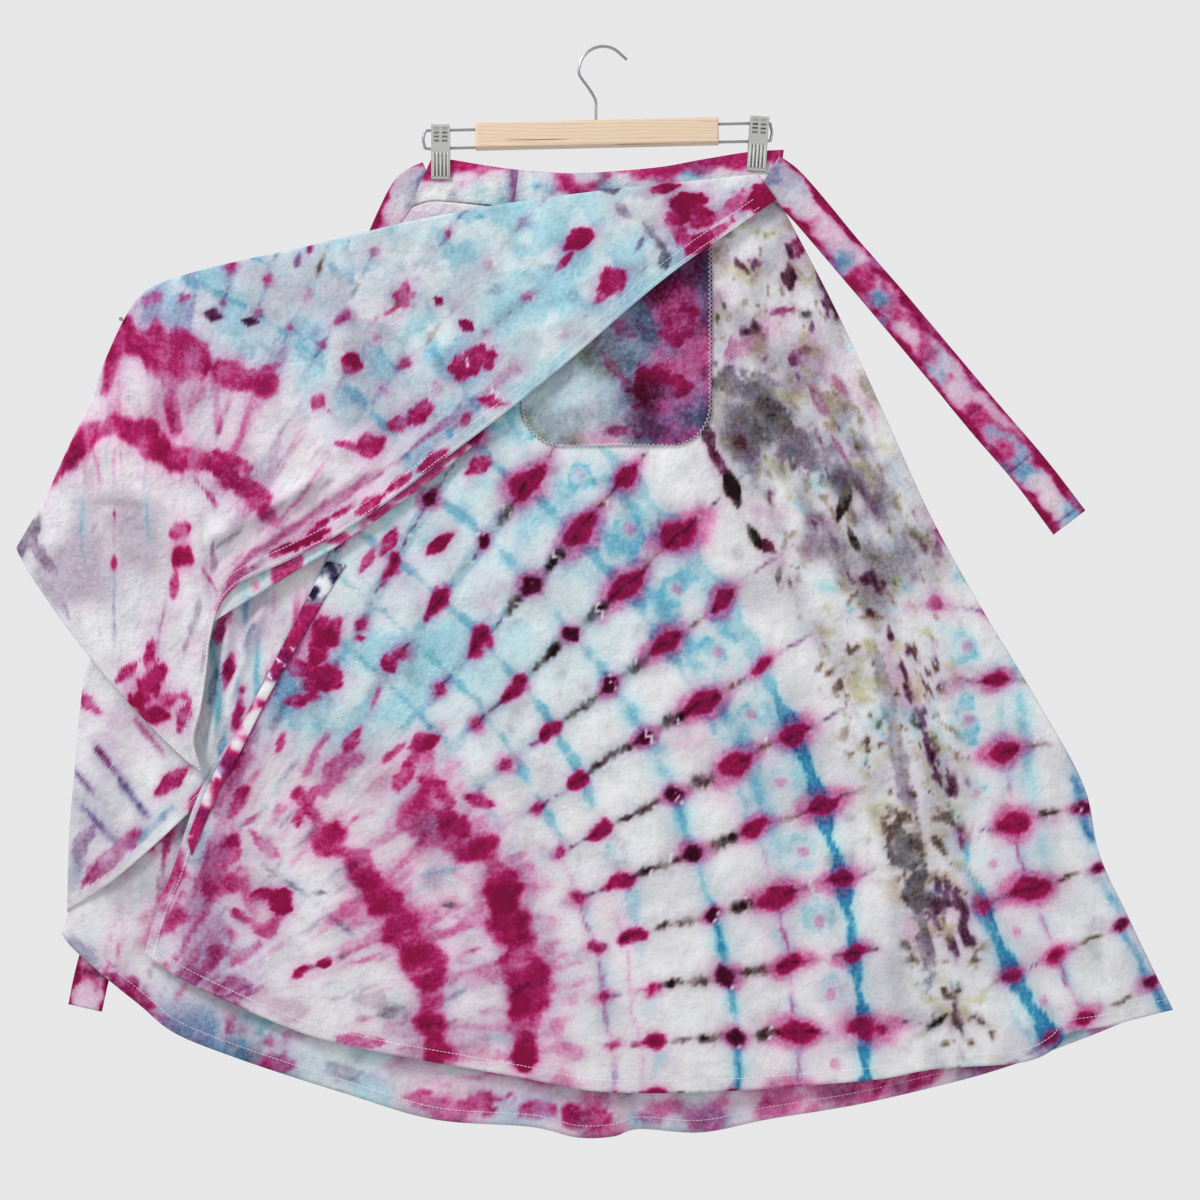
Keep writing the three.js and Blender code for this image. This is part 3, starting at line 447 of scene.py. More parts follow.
class Folds:
    """Where each point of a grid lies in a fan-folded cloth, with the noises that its dyes share.

    radius and angle are about the fold's centre, place counts the rows and step is a row's width.
    across is how far a point lies from its row, and between how far from the middle of two rows.
    """

    def __init__(self, x, z, fan):
        seed = fan.seed
        self.x, self.z, self.fan = x, z, fan
        dx = wavy(fan.turn_x * (x - fan.x), x, z, seed + 1)
        dz = wavy(fan.turn_z * (z - fan.z), x, z, seed + 3)
        self.radius = np.hypot(dx, dz)
        self.angle = np.degrees(np.arctan2(dz, dx))
        self.place = (self.angle - fan.first) / fan.pitch
        row = np.round(self.place)
        self.step = np.radians(fan.pitch) * self.radius
        self.across = (self.place - row) * self.step
        self.between = self.step / 2 - np.abs(self.across)
        self.lots = np.random.RandomState(seed).uniform(-1, 1, (400, 40))
        self.row = (row.astype(int) + 100) % 400
        self.broad, self.patch = noise(x, z, 70, seed + 5), noise(x, z, 26, seed + 6)
        self.speck = noise(x, z, 9, seed + 7)
        self.feather = noise(self.place * 60, self.radius * 0.4, 15, seed + 8, 2)
        self.fibre = noise(self.place * 60, self.radius * 0.22, 24, seed + 9)

    def past(self, ring):
        """How far a point lies outside a ring, in millimetres."""
        return self.radius - ring.radius - ring.drift * self.angle**2

    def take_up(self, ring, number):
        """Sets out and luck for one ring: how far a point lies outside it, and its row's own chance there."""
        self.out = self.past(ring)
        self.luck = self.lots[self.row, number]


def wash_cells(dye, at, rings):
    """Cells pale in the middle, with a soft aqua border along the rows and the rings, and grey painted shade
    on it as if each cell were puffed.
    """
    fan, broad, patch, speck = at.fan, at.broad, at.patch, at.speck
    lines = sorted({ring.radius for ring in rings if ring.kind in ("spot", "flame", "mark", "star")})
    below = np.arange(lines[0] - CELL, fan.wash_low - 2 * CELL, -CELL)[::-1]
    lines = [*below, *lines, *np.arange(lines[-1] + CELL, fan.wash_high + 2 * CELL, CELL)]
    level = np.interp(at.radius - 0.009 * at.angle**2 * (fan.turn_x > 0), lines, np.arange(len(lines)))
    ring_line = smooth(1 - np.abs(np.sin(np.pi * level)) / 0.5 + 0.8 * patch + 0.45 * speck, 0.3, 1.0)
    row_line = bell(np.sin(np.pi * at.place), 0.42)
    border = fall((1 - ring_line) * (1 - row_line) + 0.5 * patch + 0.2 * speck, 0.15, 0.75)
    window = smooth(at.radius + fan.early * smooth(at.angle, 40, 60), fan.wash_low - 30, fan.wash_low + 30)
    window = window * fall(at.radius, fan.wash_high - 20, fan.wash_high + 50)
    high = smooth(at.angle, 12, 42)
    blotchy = smooth(patch + 0.5 * speck, -0.4, 0.35)
    puffs = 0.26 * smooth(at.angle, 34, 46) + 0.62 * border * (0.75 + 0.7 * patch)
    dye.add(window * ring_line * blotchy * mix(0.34, 0.62, high), aqua=1)
    dye.add(window * row_line * smooth(patch + 0.4 * broad, -0.1, 0.5) * high * 0.42, aqua=1)
    dye.add(window * fan.wash * high * puffs, aqua=1)
    dye.add(window * smooth(at.angle, 34, 52) * smooth(broad + 0.7 * patch, -0.5, 0.3) * 0.46, aqua=1)
    # painted shade: grey on the cell borders, as if each puffed cell were shaded at its edges
    dye.add(window * high * border * 0.16, dark=1)
    dye.add(window * smooth(-broad + 0.6 * patch, 0.2, 0.8) * 0.16, magenta=1)
    dye.add(patches(at.x, at.z, 54, fan.seed + 11, -0.1, 0.7) * mix(0.30, 0.14, window), dark=1)
    dye.add(patches(at.x, at.z, 17, fan.seed + 12, 0.15, 0.7) * smooth(broad, -0.4, 0.4) * 0.26, dark=1)


def stitched_rows(dye, at):
    """The thin line that a row of stitches leaves."""
    dotted = smooth(at.speck + 0.25 * at.patch, -0.3, 0.3)
    past_arcs = smooth(at.radius, at.fan.wash_low + 15, at.fan.wash_low + 45)
    dye.add(bell(at.across, 2.0) * dotted * past_arcs * at.fan.rows, dark=0.8, magenta=0.6, aqua=0.3)


def arc_fibres(dye, at):
    """Fine dye inside the arcs, drawn out along the radius."""
    inside = fall(at.radius, at.fan.wash_low - 40, at.fan.wash_low)
    dye.add(inside * smooth(at.fibre + 0.5 * at.patch + 0.2 * at.feather, 0, 0.7) * 0.62, magenta=0.85)
    dye.add(inside * smooth(-at.fibre + 0.3 * at.broad, 0, 0.7) * 0.30, aqua=0.7, dark=0.6)
    dye.add(inside * smooth(at.feather - 0.4 * at.fibre, 0.25, 0.8) * 0.5, dark=0.8, magenta=0.5)


def arc_amount(at, ring):
    """A broad arc, torn into fibres on both sides."""
    out = at.out + 5 * at.patch + 3 * at.broad
    reach = np.abs(out) / np.where(out > 0, ring.wide * 1.8, ring.long)
    return smooth(1 - reach + 1.1 * at.feather + 0.5 * at.patch, -0.1, 0.9)


def thread_amount(at, ring):
    """A thin uneven ring."""
    return bell(at.out, ring.long) * np.clip(0.75 + 0.9 * at.patch + 0.4 * at.speck, 0.1, 1)


def cell_amount(at, ring):
    """A mark between two rows: an oval, a disc or a spindle of a chain, with a paler middle."""
    reach = np.hypot(at.out / ring.wide, at.between / np.minimum(ring.long, at.step * 0.30))
    if ring.kind == "chain":
        taper = np.sin(np.pi * np.clip(at.between / at.step, 0.1, 0.5)) ** 0.8
        reach = np.abs(at.out) / (1.15 * ring.wide * taper)
    amount = smooth(1.2 - reach + RAGGED[ring.kind] * (at.patch + 0.7 * at.speck), 0.1, 0.6)
    return amount * (1 - HOLLOW[ring.kind] * fall(reach, 0.15, 0.9))


def flame_amount(at, ring):
    """A drop on a row, with a long tail towards the fold's centre."""
    tail = np.where(at.out < 0, np.clip(1 + at.out / 40, 0.1, 1), 1.0)
    long = np.where(at.out < 0, 26, ring.long * (1 + 0.3 * at.luck))
    wide = ring.wide * tail * (1 + 0.2 * at.luck)
    reach = np.hypot((at.out + 3.5 * at.feather) / long, at.across / wide)
    return smooth(1.25 - reach + 0.5 * at.speck + 0.3 * at.feather, 0.1, 0.9)


def dash_amount(at, ring):
    """A beaded dash along a row."""
    bead = 0.65 + 0.55 * np.abs(np.cos(at.out / 2.6 + at.luck))
    reach = np.hypot(at.out / ring.long, at.across / (ring.wide * bead * (1 + 0.35 * at.speck)))
    return np.exp(-(reach**4)) * np.clip(0.95 + 0.6 * at.speck + 0.3 * at.luck, 0, 1.2)


RAGGED = {"disc": 0.15, "chain": 0.4, "oval": 0.75}
HOLLOW = {"disc": 0.0, "chain": 0.15, "oval": 0.55}
AMOUNTS = {
    "arc": arc_amount, "thread": thread_amount, "flame": flame_amount, "dash": dash_amount,
    "oval": cell_amount, "disc": cell_amount, "chain": cell_amount,
}


def tie_nicks(dye, at, rings):
    """Where thread was tied round a mark, a bare white nick crosses it."""
    for ring in rings:
        if ring.kind in ("mark", "dash"):
            nick = bell(at.past(ring) - 3 + 1.8 * np.sin(0.8 * at.across), 1.0)
            nick = nick * (np.abs(at.across) < max(7, ring.wide))
            nick = nick * smooth(at.patch + 0.6 * at.speck, -0.25, 0.1)
            dye.bare = np.maximum(dye.bare, 0.9 * nick)


def fan_dye(x, z, fan, rings):
    dye = Dye(x)
    at = Folds(x, z, fan)
    wash_cells(dye, at, rings)
    stitched_rows(dye, at)
    arc_fibres(dye, at)
    for number, ring in enumerate(rings):
        at.take_up(ring, number)
        strong = smooth(at.angle, ring.low - 5, ring.low + 4) * fall(at.angle, ring.high - 5, ring.high + 8)
        if ring.kind in AMOUNTS:
            amount = AMOUNTS[ring.kind](at, ring)
        else:
            # a spot, mark or star on a row, with a pink halo
            size = 1 + 0.25 * at.luck
            along = at.out + 0.4 * at.across * at.luck
            reach = leaf(along, at.across, 1.35 * ring.long * size, ring.wide * size)
            amount = smooth(1.15 - reach + 0.32 * at.speck + 0.18 * at.patch, 0, 0.75)
            dye.add(smooth(2.4 - reach + 0.8 * at.patch, 0, 1.6) * strong * 0.48, magenta=ring.magenta)
        dye.add(amount * strong, ring.magenta, ring.aqua, ring.dark, 0.7 * (ring.kind == "dash"))
    tie_nicks(dye, at, rings)
    return dye


# The band where the cloth was folded in two: x and z of the fold, then z and half the band's width.
AXIS = [
    (145, -130), (167, -318), (217, -426), (248, -533), (270, -642), (293, -741), (316, -858), (322, -945),
]
AXIS_WIDTH = [
    (-945, 34), (-858, 36), (-741, 44), (-600, 56), (-500, 72), (-426, 82), (-318, 90), (-130, 78),
]


def axis_dye(x, z):
    """The grey, plum and olive band along the folded axis, and how much of each point lies in it."""
    off = x - x_at(AXIS, z)
    half = np.interp(z, [row[0] for row in AXIS_WIDTH], [row[1] for row in AXIS_WIDTH])
    window = fall(np.abs(off) / half + 0.30 * noise(x, z, 50, 61), 0.6, 1.25)
    side = np.abs(off + 16 * noise(x, z, 44, 60)) + 200
    cloud = noise(x, z, 58, 63) + 0.5 * noise(x, z, 24, 59)
    lean, run = x + 0.36 * z, z - 0.36 * x
    frond = noise(lean * 1.5, run * 0.6, 26, 62)
    speck = noise(lean + 0.2 * side, run * 0.6, 12, 64)
    fleck = noise(side * 1.1, z + 0.5 * side, 10, 69) + 0.4 * noise(side, z, 30, 70)
    upper, top = smooth(z, -560, -420), smooth(z, -350, -280)
    grey = window * smooth(cloud + 0.7 * frond + 0.25 * upper, -0.4, 0.9) * mix(0.3, 0.72, upper)
    plum = window * patches(lean, run * 0.7, 30, 67, 0, 0.6) * mix(0.2, 0.36, upper)
    twig = noise(lean, run * 0.7, 11, 66) + 0.5 * frond
    dye = Dye(x)
    dye.add(grey * mix(1, 0.5, top), dark=1)
    dye.add(window * smooth(fleck, 0.22, 0.6) * mix(0.8, 0.5, upper), dark=0.75, magenta=0.25, olive=0.9)
    dye.add(window * smooth(speck + 0.8 * frond, 0.30, 0.85), dark=0.85, magenta=0.45)
    dye.add(window * smooth(noise(side, z, 15, 65) + 0.2 * cloud, 0.1, 0.6), olive=0.5)
    dye.add(window * smooth(twig, 0.40, 0.95), olive=0.9, dark=0.55)
    dye.add(plum * mix(1, 0.6, top), magenta=1, dark=0.6)
    dye.add(window * smooth(noise(side, z, 18, 68) - 0.3 * cloud, 0.25, 0.7) * 0.35, aqua=1)
    dye.add(bell(off, 2.4) * smooth(speck, -0.1, 0.5) * smooth(-z, 420, 520), dark=0.5)
    return dye, window


# Stains placed one by one: centre, half length and width, turn in degrees, and the share of each dye.
# A stain is small, and shaped like a leaf, if it is shorter than SMALL_BLOT each way.
SMALL_BLOT = 18
# A few listed blots are strokes of painted shade along folds, not stains; each is marked where it stands.
Blot = namedtuple("Blot", "x z long wide turn magenta aqua dark")
AXIS_BLOTS = named(Blot, [
    (167, -206, 6, 14, 0, 0.5, 0, 0.9), (173, -181, 11, 8, 60, 0.7, 0, 0.55),
    (184, -240, 5, 4, 0, 0, 0, 0.8), (139, -233, 3, 3, 0, 0, 0, 0.7), (108, -233, 7, 3, -60, 0.1, 0, 0.85),
    (160, -238, 11, 4, 10, 0.5, 0, 0.4), (176, -278, 12, 9, 30, 0.45, 0.1, 0.55),
    (133, -314, 38, 20, -35, 0.1, 0.1, 0.62), (148, -338, 27, 22, -20, 0.1, 0.1, 0.8),
    (173, -357, 38, 20, -40, 0.15, 0, 0.6), (94, -350, 5, 14, 20, 0.4, 0, 0.7),
    (103, -374, 16, 5, -60, 0.5, 0, 0.7), (115, -397, 7, 15, 20, 0.35, 0, 0.95),
    (120, -410, 4, 6, 0, 0, 0, 0.8), (216, -408, 16, 6, 72, 0.1, 0, 1),
    (225, -444, 14, 4, -65, 0.1, 0, 0.95), (135, -440, 14, 5, -60, 0.1, 0, 0.95),
    (147, -450, 8, 6, -30, 0.6, 0, 0.75), (157, -477, 9, 4, 85, 0, 0, 0.75),
    (194, -320, 20, 6, -60, 0.45, 0, 0.5), (211, -303, 14, 6, -50, 0.5, 0, 0.45),
    (211, -361, 13, 4, -60, 0.4, 0, 0.45), (209, -467, 36, 7, -62, 0, 0, 0.42),
    (238, -381, 27, 8, -60, 0.1, 0, 0.35), (86, -273, 18, 9, 60, 0.3, 0, 0.25),
    (127, -268, 23, 11, 40, 0.35, 0, 0.25), (104, -192, 22, 13, 80, 0.1, 0, 0.25),
    # painted shade: the long grey-only strokes at (239, -498), (253, -579), (269, -660) and (289, -813) shade
    # the long fold beside the axis
    (149, -291, 23, 6, -55, 0.1, 0, 0.4), (239, -498, 54, 8, -75, 0, 0, 0.4),
    (253, -579, 63, 7, -78, 0, 0, 0.42), (269, -660, 54, 8, -78, 0.05, 0, 0.5),
    (271, -723, 14, 27, 10, 0.05, 0, 0.8), (283, -759, 14, 22, 10, 0.05, 0, 0.75),
    (289, -813, 36, 8, -82, 0, 0, 0.6), (316, -867, 20, 4, 80, 0.1, 0, 1),
    (302, -876, 20, 4, 35, 0, 0.2, 1), (334, -874, 18, 3, -30, 0.2, 0, 1),
    (319, -879, 9, 4, -70, 0, 0, 0.9),
])
UNDER_BLOTS = named(Blot, [
    (-251, -527, 15, 14, 40, 1, 0.1, 0.05), (-257, -547, 11, 8, 60, 0.9, 0, 0.05),
    (-277, -559, 14, 9, -20, 0.9, 0, 0), (-256, -570, 18, 13, 20, 1, 0.05, 0.05),
    (-274, -588, 20, 7, 10, 0.85, 0.05, 0.1), (-220, -532, 5, 4, 0, 0.9, 0.1, 0.1),
    (-193, -554, 7, 12, 30, 0.9, 0.1, 0.15), (-206, -588, 18, 4, 70, 0.7, 0.1, 0),
    (-329, -615, 27, 3, 80, 0.7, 0.1, 0.25), (-335, -646, 13, 7, 60, 0.85, 0, 0.15),
    (-328, -678, 18, 6, 60, 0.8, 0, 0.15), (-292, -628, 11, 4, 70, 0.6, 0.1, 0),
    (-265, -678, 23, 6, 60, 0.75, 0, 0.1), (-247, -651, 14, 6, 60, 0.6, 0, 0.05),
    (-227, -626, 16, 6, 60, 0.7, 0, 0.1), (-188, -634, 23, 4, 40, 0.65, 0, 0),
    (-179, -655, 22, 7, 60, 0.8, 0.05, 0), (-161, -626, 13, 9, 20, 0.95, 0.05, 0.05),
    (-148, -669, 27, 11, -45, 0.75, 0, 0), (-134, -700, 23, 15, -50, 0.85, 0, 0.05),
    (-113, -678, 13, 8, -20, 0.85, 0.05, 0.1), (-292, -770, 11, 13, 60, 1.05, 0, 0.1),
    (-308, -763, 9, 7, 20, 0.85, 0, 0.1), (-302, -790, 13, 5, 40, 0.7, 0, 0.05),
    (-274, -833, 8, 5, 40, 1.1, 0, 0.05), (-251, -824, 7, 5, 20, 0.95, 0, 0.15),
    (-262, -828, 8, 3, 20, 0.5, 0, 0.3), (-233, -817, 8, 4, 20, 0.15, 0, 0.5),
    (-301, -741, 23, 2, -45, 0.05, 0.1, 0.4), (-274, -759, 23, 3, -35, 0.05, 0.2, 0.45),
    (-256, -761, 7, 3, 0, 0.1, 0, 0.5), (-305, -718, 16, 7, -40, 0.6, 0, 0.15),
    (-337, -723, 16, 11, 70, 0.8, 0.05, 0.1), (-350, -750, 20, 11, 60, 0.7, 0.1, 0.15),
    (-319, -696, 13, 4, 40, 0.5, 0, 0.2), (-351, -795, 27, 14, 60, 0.4, 0.2, 0.2),
    (-359, -826, 31, 11, 40, 0.6, 0.35, 0.3), (-323, -817, 27, 7, 35, 0.55, 0.15, 0.1),
    (-341, -858, 31, 5, -25, 0.6, 0.2, 0.3), (-328, -844, 23, 7, -30, 0.45, 0.3, 0.15),
    (-206, -858, 18, 11, -20, 0.1, 0, 0.35), (-193, -868, 13, 7, 20, 0.1, 0, 0.45),
    (-220, -894, 23, 6, -10, 0.5, 0, 0.1), (-139, -772, 7, 4, 0, 0.1, 0, 0.5),
    (-134, -853, 11, 4, 30, 0.05, 0.1, 0.45), (-122, -880, 7, 4, 0, 0.2, 0.1, 0.35),
    (-122, -750, 27, 6, -30, 0.35, 0, 0), (-116, -786, 31, 5, -10, 0.4, 0, 0),
    (-112, -822, 31, 5, 0, 0.3, 0.1, 0.05), (-103, -867, 23, 5, 5, 0.35, 0.1, 0.05),
    (-143, -741, 20, 5, 10, 0.05, 0.35, 0.15), (-76, -772, 5, 3, 0, 0.2, 0, 0.3),
    (-359, -588, 45, 4, 72, 0.6, 0.1, 0.35), (-274, -498, 11, 7, 50, 0.9, 0.1, 0.1),
    (-265, -471, 18, 4, 62, 0.25, 0.4, 0.85), (-287, -543, 31, 4, 60, 1, 0.1, 0.1),
    (-308, -579, 23, 4, 60, 0.9, 0.1, 0.15), (-193, -444, 13, 7, 60, 0.95, 0.1, 0.1),
    (-213, -462, 13, 5, 60, 0.7, 0.2, 0.1), (-148, -448, 14, 7, 40, 0.9, 0.1, 0.15),
    (-112, -376, 11, 9, 40, 0.9, 0.2, 0.1),
])
FLAP_BLOTS = named(Blot, [
    (77, -149, 23, 18, -20, 1.1, 0, 0.05), (52, -129, 13, 6, 10, 0.9, 0, 0),
    (86, -178, 14, 9, 40, 1, 0, 0), (118, -142, 27, 11, 40, 0.55, 0.1, 0),
    (142, -136, 16, 14, 30, 1, 0, 0.1), (104, -166, 23, 5, 38, 0.75, 0, 0.05),
    (7, -127, 11, 8, 0, 0.2, 0.1, 0.7), (16, -148, 8, 6, -40, 0.3, 0.3, 0.5),
    (46, -174, 18, 6, -50, 0.2, 0.2, 0.6), (54, -194, 5, 8, 20, 0, 0.4, 0.7),
    (32, -179, 9, 4, 60, 0.3, 0, 0.6), (-23, -174, 14, 10, 35, 1, 0.1, 0),
    (-35, -194, 13, 4, 50, 0.7, 0.2, 0.2), (9, -212, 13, 12, 40, 1.05, 0.15, 0),
    (-2, -226, 8, 5, 40, 0.8, 0.2, 0.1), (68, -169, 20, 9, -60, 0.7, 0.15, 0),
    (-148, -230, 4, 6, 60, 0.9, 0, 0.45), (-123, -252, 4, 8, 60, 0.9, 0.1, 0.4),
    (-121, -286, 20, 14, 30, 0.85, 0.25, 0.05), (-101, -320, 13, 7, -10, 0.9, 0.1, 0),
    (-134, -331, 23, 3, 55, 0.3, 0.5, 0.3), (-179, -230, 18, 9, 75, 0.85, 0.15, 0.15),
    (-187, -237, 22, 4, 30, 0.8, 0.2, 0.1), (-227, -286, 8, 11, 70, 0.95, 0.1, 0.15),
    (-234, -300, 23, 3, 58, 0.3, 0.4, 0.4), (-168, -331, 18, 9, 40, 0.95, 0.1, 0),
    (-184, -339, 11, 8, 20, 0.8, 0, 0), (-211, -359, 15, 13, 20, 0.95, 0, 0),
    (-229, -359, 14, 5, -10, 0.8, 0, 0), (-256, -320, 8, 8, 60, 0.6, 0.1, 0.1),
    (-247, -328, 9, 2, -40, 0.75, 0, 0), (-299, -291, 11, 6, 30, 0.8, 0.1, 0),
    (-308, -298, 20, 11, 10, 0.55, 0, 0.1), (-350, -243, 5, 9, 80, 0.55, 0.5, 0.7),
    (-317, -248, 4, 9, 80, 0.5, 0.5, 0.75), (-274, -194, 7, 4, 80, 0.5, 0.6, 0.4),
    (-263, -183, 6, 4, 70, 0.6, 0.4, 0.3), (-152, -372, 14, 7, 35, 0.85, 0, 0),
    (-184, -393, 15, 5, 35, 1, 0.05, 0), (-209, -412, 14, 7, 35, 0.95, 0.1, 0),
    (-247, -426, 31, 4, 30, 0.8, 0.1, 0.05), (-265, -444, 20, 6, 25, 1.05, 0, 0.1),
    (-289, -454, 20, 5, 20, 0.9, 0.1, 0.25), (-319, -472, 31, 4, 35, 0.5, 0.1, 0.45),
    (-314, -400, 25, 9, -35, 0.75, 0, 0.05), (-335, -374, 20, 7, -25, 0.85, 0, 0),
    (-357, -400, 18, 4, -50, 0.6, 0.2, 0.1), (-389, -273, 18, 9, 10, 0.8, 0.05, 0.05),
    (-376, -228, 7, 4, 30, 0.7, 0, 0.1), (-488, -385, 14, 4, 60, 0.9, 0.1, 0.1),
    (-434, -310, 16, 4, 88, 0.05, 0, 0.1), (-395, -310, 18, 4, 70, 0.1, 0, 0.1),
    (-438, -421, 8, 2, 90, 0.8, 0, 0.3), (-438, -444, 7, 2, 90, 0.7, 0, 0.35),
    (-438, -465, 7, 4, 90, 0.95, 0, 0.1), (-438, -498, 31, 3, 90, 0.25, 0.35, 0.3),
    (-438, -520, 20, 2, 90, 0.3, 0.5, 0.35), (-467, -426, 32, 3, 88, 0.1, 0.4, 0.1),
    (-409, -426, 27, 3, 92, 0.05, 0.55, 0.12), (-380, -436, 9, 8, 30, 0.8, 0, 0.05),
    (-378, -458, 12, 11, 60, 1, 0, 0.05), (-385, -483, 13, 6, 80, 0.85, 0.05, 0.05),
    (-396, -516, 31, 4, 78, 0.45, 0.2, 0.08), (-407, -547, 23, 5, 80, 0.7, 0.05, 0.05),
    (-409, -574, 20, 13, 60, 1.05, 0, 0.05), (-389, -588, 18, 9, 20, 0.7, 0, 0),
    (-402, -601, 13, 9, 0, 1, 0, 0.15), (-376, -601, 13, 7, 70, 0.65, 0.15, 0),
    (-427, -562, 13, 6, 40, 0.7, 0.1, 0.1), (-353, -480, 20, 4, -60, 0.6, 0.05, 0.1),
    (-517, -439, 18, 9, 55, 0.2, 0.1, 0.55), (-524, -453, 11, 6, 60, 0.3, 0.1, 0.7),
    (-500, -462, 18, 6, -50, 0.25, 0.1, 0.45), (-490, -498, 23, 5, -55, 0.2, 0.15, 0.35),
    (-476, -471, 7, 4, 0, 0, 0, 0.35), (-458, -435, 9, 3, 60, 0, 0, 0.35),
    (-373, -534, 22, 4, 70, 0.15, 0, 0.35), (-364, -507, 13, 4, 80, 0.1, 0, 0.4),
    (-359, -552, 11, 3, 80, 0.1, 0, 0.45),
])
POCKET_BLOTS = named(Blot, [
    (66, -250, 26, 16, 70, 0.9, 0.1, 0.05), (48, -300, 26, 18, 40, 0.95, 0, 0.1),
    (66, -306, 14, 12, 0, 1.05, 0, 0.1), (30, -200, 28, 12, 80, 0.7, 0.2, 0.1),
    (82, -200, 20, 9, 85, 0.8, 0.2, 0.1), (10, -290, 22, 6, -50, 0.6, 0.2, 0.3),
    (-6, -262, 24, 5, 60, 0.3, 0.3, 0.4), (84, -330, 26, 10, 60, 0.45, 0.5, 0.3),
    (30, -345, 34, 7, 4, 0.7, 0.3, 0.2), (-38, -300, 30, 6, 65, 0.1, 0.2, 0.3),
    (66, -165, 20, 14, 20, 0.85, 0.1, 0.15), (20, -250, 20, 14, 10, 0.5, 0.4, 0.1),
])
BACK_HEM_BLOTS = named(Blot, [
    (-430, -850, 34, 12, -40, 0.8, 0.2, 0.3), (-470, -815, 18, 8, -40, 0.3, 0.3, 0.4),
    (-380, -885, 26, 8, -30, 0.5, 0.5, 0.3), (-330, -905, 22, 8, -20, 0.3, 0.1, 0.6),
    (-290, -915, 12, 8, -20, 0.7, 0, 0.3), (-236, -925, 22, 10, -15, 0.2, 0.1, 0.6),
    (-160, -950, 20, 10, -10, 0.9, 0, 0.1), (-110, -955, 24, 12, 0, 0.95, 0, 0.1),
    (-62, -960, 20, 10, 0, 0.85, 0, 0.1), (-14, -966, 26, 14, 0, 1, 0, 0.1),
    (34, -966, 20, 8, 0, 0.2, 0.6, 0.2), (100, -966, 24, 9, 5, 0.2, 0.5, 0.3),
    (150, -955, 18, 9, 10, 0.8, 0, 0.2), (236, -940, 22, 10, 10, 0.95, 0.1, 0.1),
    (290, -930, 26, 9, 15, 0.9, 0.1, 0.1), (352, -915, 24, 7, 20, 0.4, 0.5, 0.2),
    (420, -892, 24, 6, 25, 0.2, 0.7, 0.2),
])
SIDE_BLOTS = named(Blot, [
    (-466, -590, 16, 7, -40, 0.8, 0.2, 0.1), (-450, -640, 34, 4, -52, 0.6, 0.5, 0.5),
    (-424, -676, 30, 4, -52, 0.5, 0.7, 0.4), (-470, -660, 26, 3, -50, 0.5, 0.5, 0.5),
    (-455, -700, 30, 4, -48, 0.5, 0.6, 0.4), (-410, -620, 26, 4, -50, 0.6, 0.2, 0.3),
    (-388, -660, 16, 8, 40, 0.9, 0.1, 0.1), (-366, -676, 18, 7, 40, 0.95, 0.1, 0.1),
    (-444, -730, 34, 8, 45, 0.6, 0.2, 0.25), (-470, -720, 22, 8, 70, 0.3, 0.2, 0.35),
    (-405, -700, 26, 5, 42, 0.2, 0.5, 0.2), (-478, -745, 16, 7, 80, 0.2, 0.3, 0.3),
    (-345, -520, 20, 6, 80, 0.8, 0.1, 0.2), (-352, -575, 26, 5, 75, 0.2, 0.6, 0.4),
    (-338, -560, 14, 5, 80, 0.9, 0, 0.3), (-330, -600, 22, 5, 80, 0.9, 0.1, 0.2),
    (-345, -630, 18, 5, 80, 0.2, 0.7, 0.4), (-318, -530, 22, 4, 72, 0.1, 0.3, 0.35),
])


def blot_dye(dye, x, z, blots, seed, olive=0.0):
    """Adds listed stains, and a few strokes of painted fold shade, with ragged edges and a pale fringe. A
    small one is shaped like a leaf.
    """
    ragged = 0.6 * noise(x, z, 16, seed + 2, 4) + 0.35 * noise(x, z, 5, seed + 3)
    mottle = 0.92 + 0.5 * noise(x, z, 14, seed)
    for b in blots:
        turn = math.radians(b.turn)
        along = (x - b.x) * math.cos(turn) + (z - b.z) * math.sin(turn)
        across = -(x - b.x) * math.sin(turn) + (z - b.z) * math.cos(turn)
        small = max(b.long, b.wide) < SMALL_BLOT
        if small:
            reach = leaf(along, across, 1.3 * b.long, 1.1 * b.wide)
        else:
            reach = np.hypot(along / b.long, across / b.wide)
        heart = smooth(1.15 - reach + (0.7 if small else 1.1) * ragged, 0, max(0.45, 3.0 / b.wide))
        fringe = smooth(1.9 - reach + 1.3 * ragged, 0, 1.3)
        amount = np.maximum(heart * mottle, 0.3 * fringe)
        dye.add(amount, b.magenta, b.aqua, b.dark, olive * max(0, b.dark - 0.6))
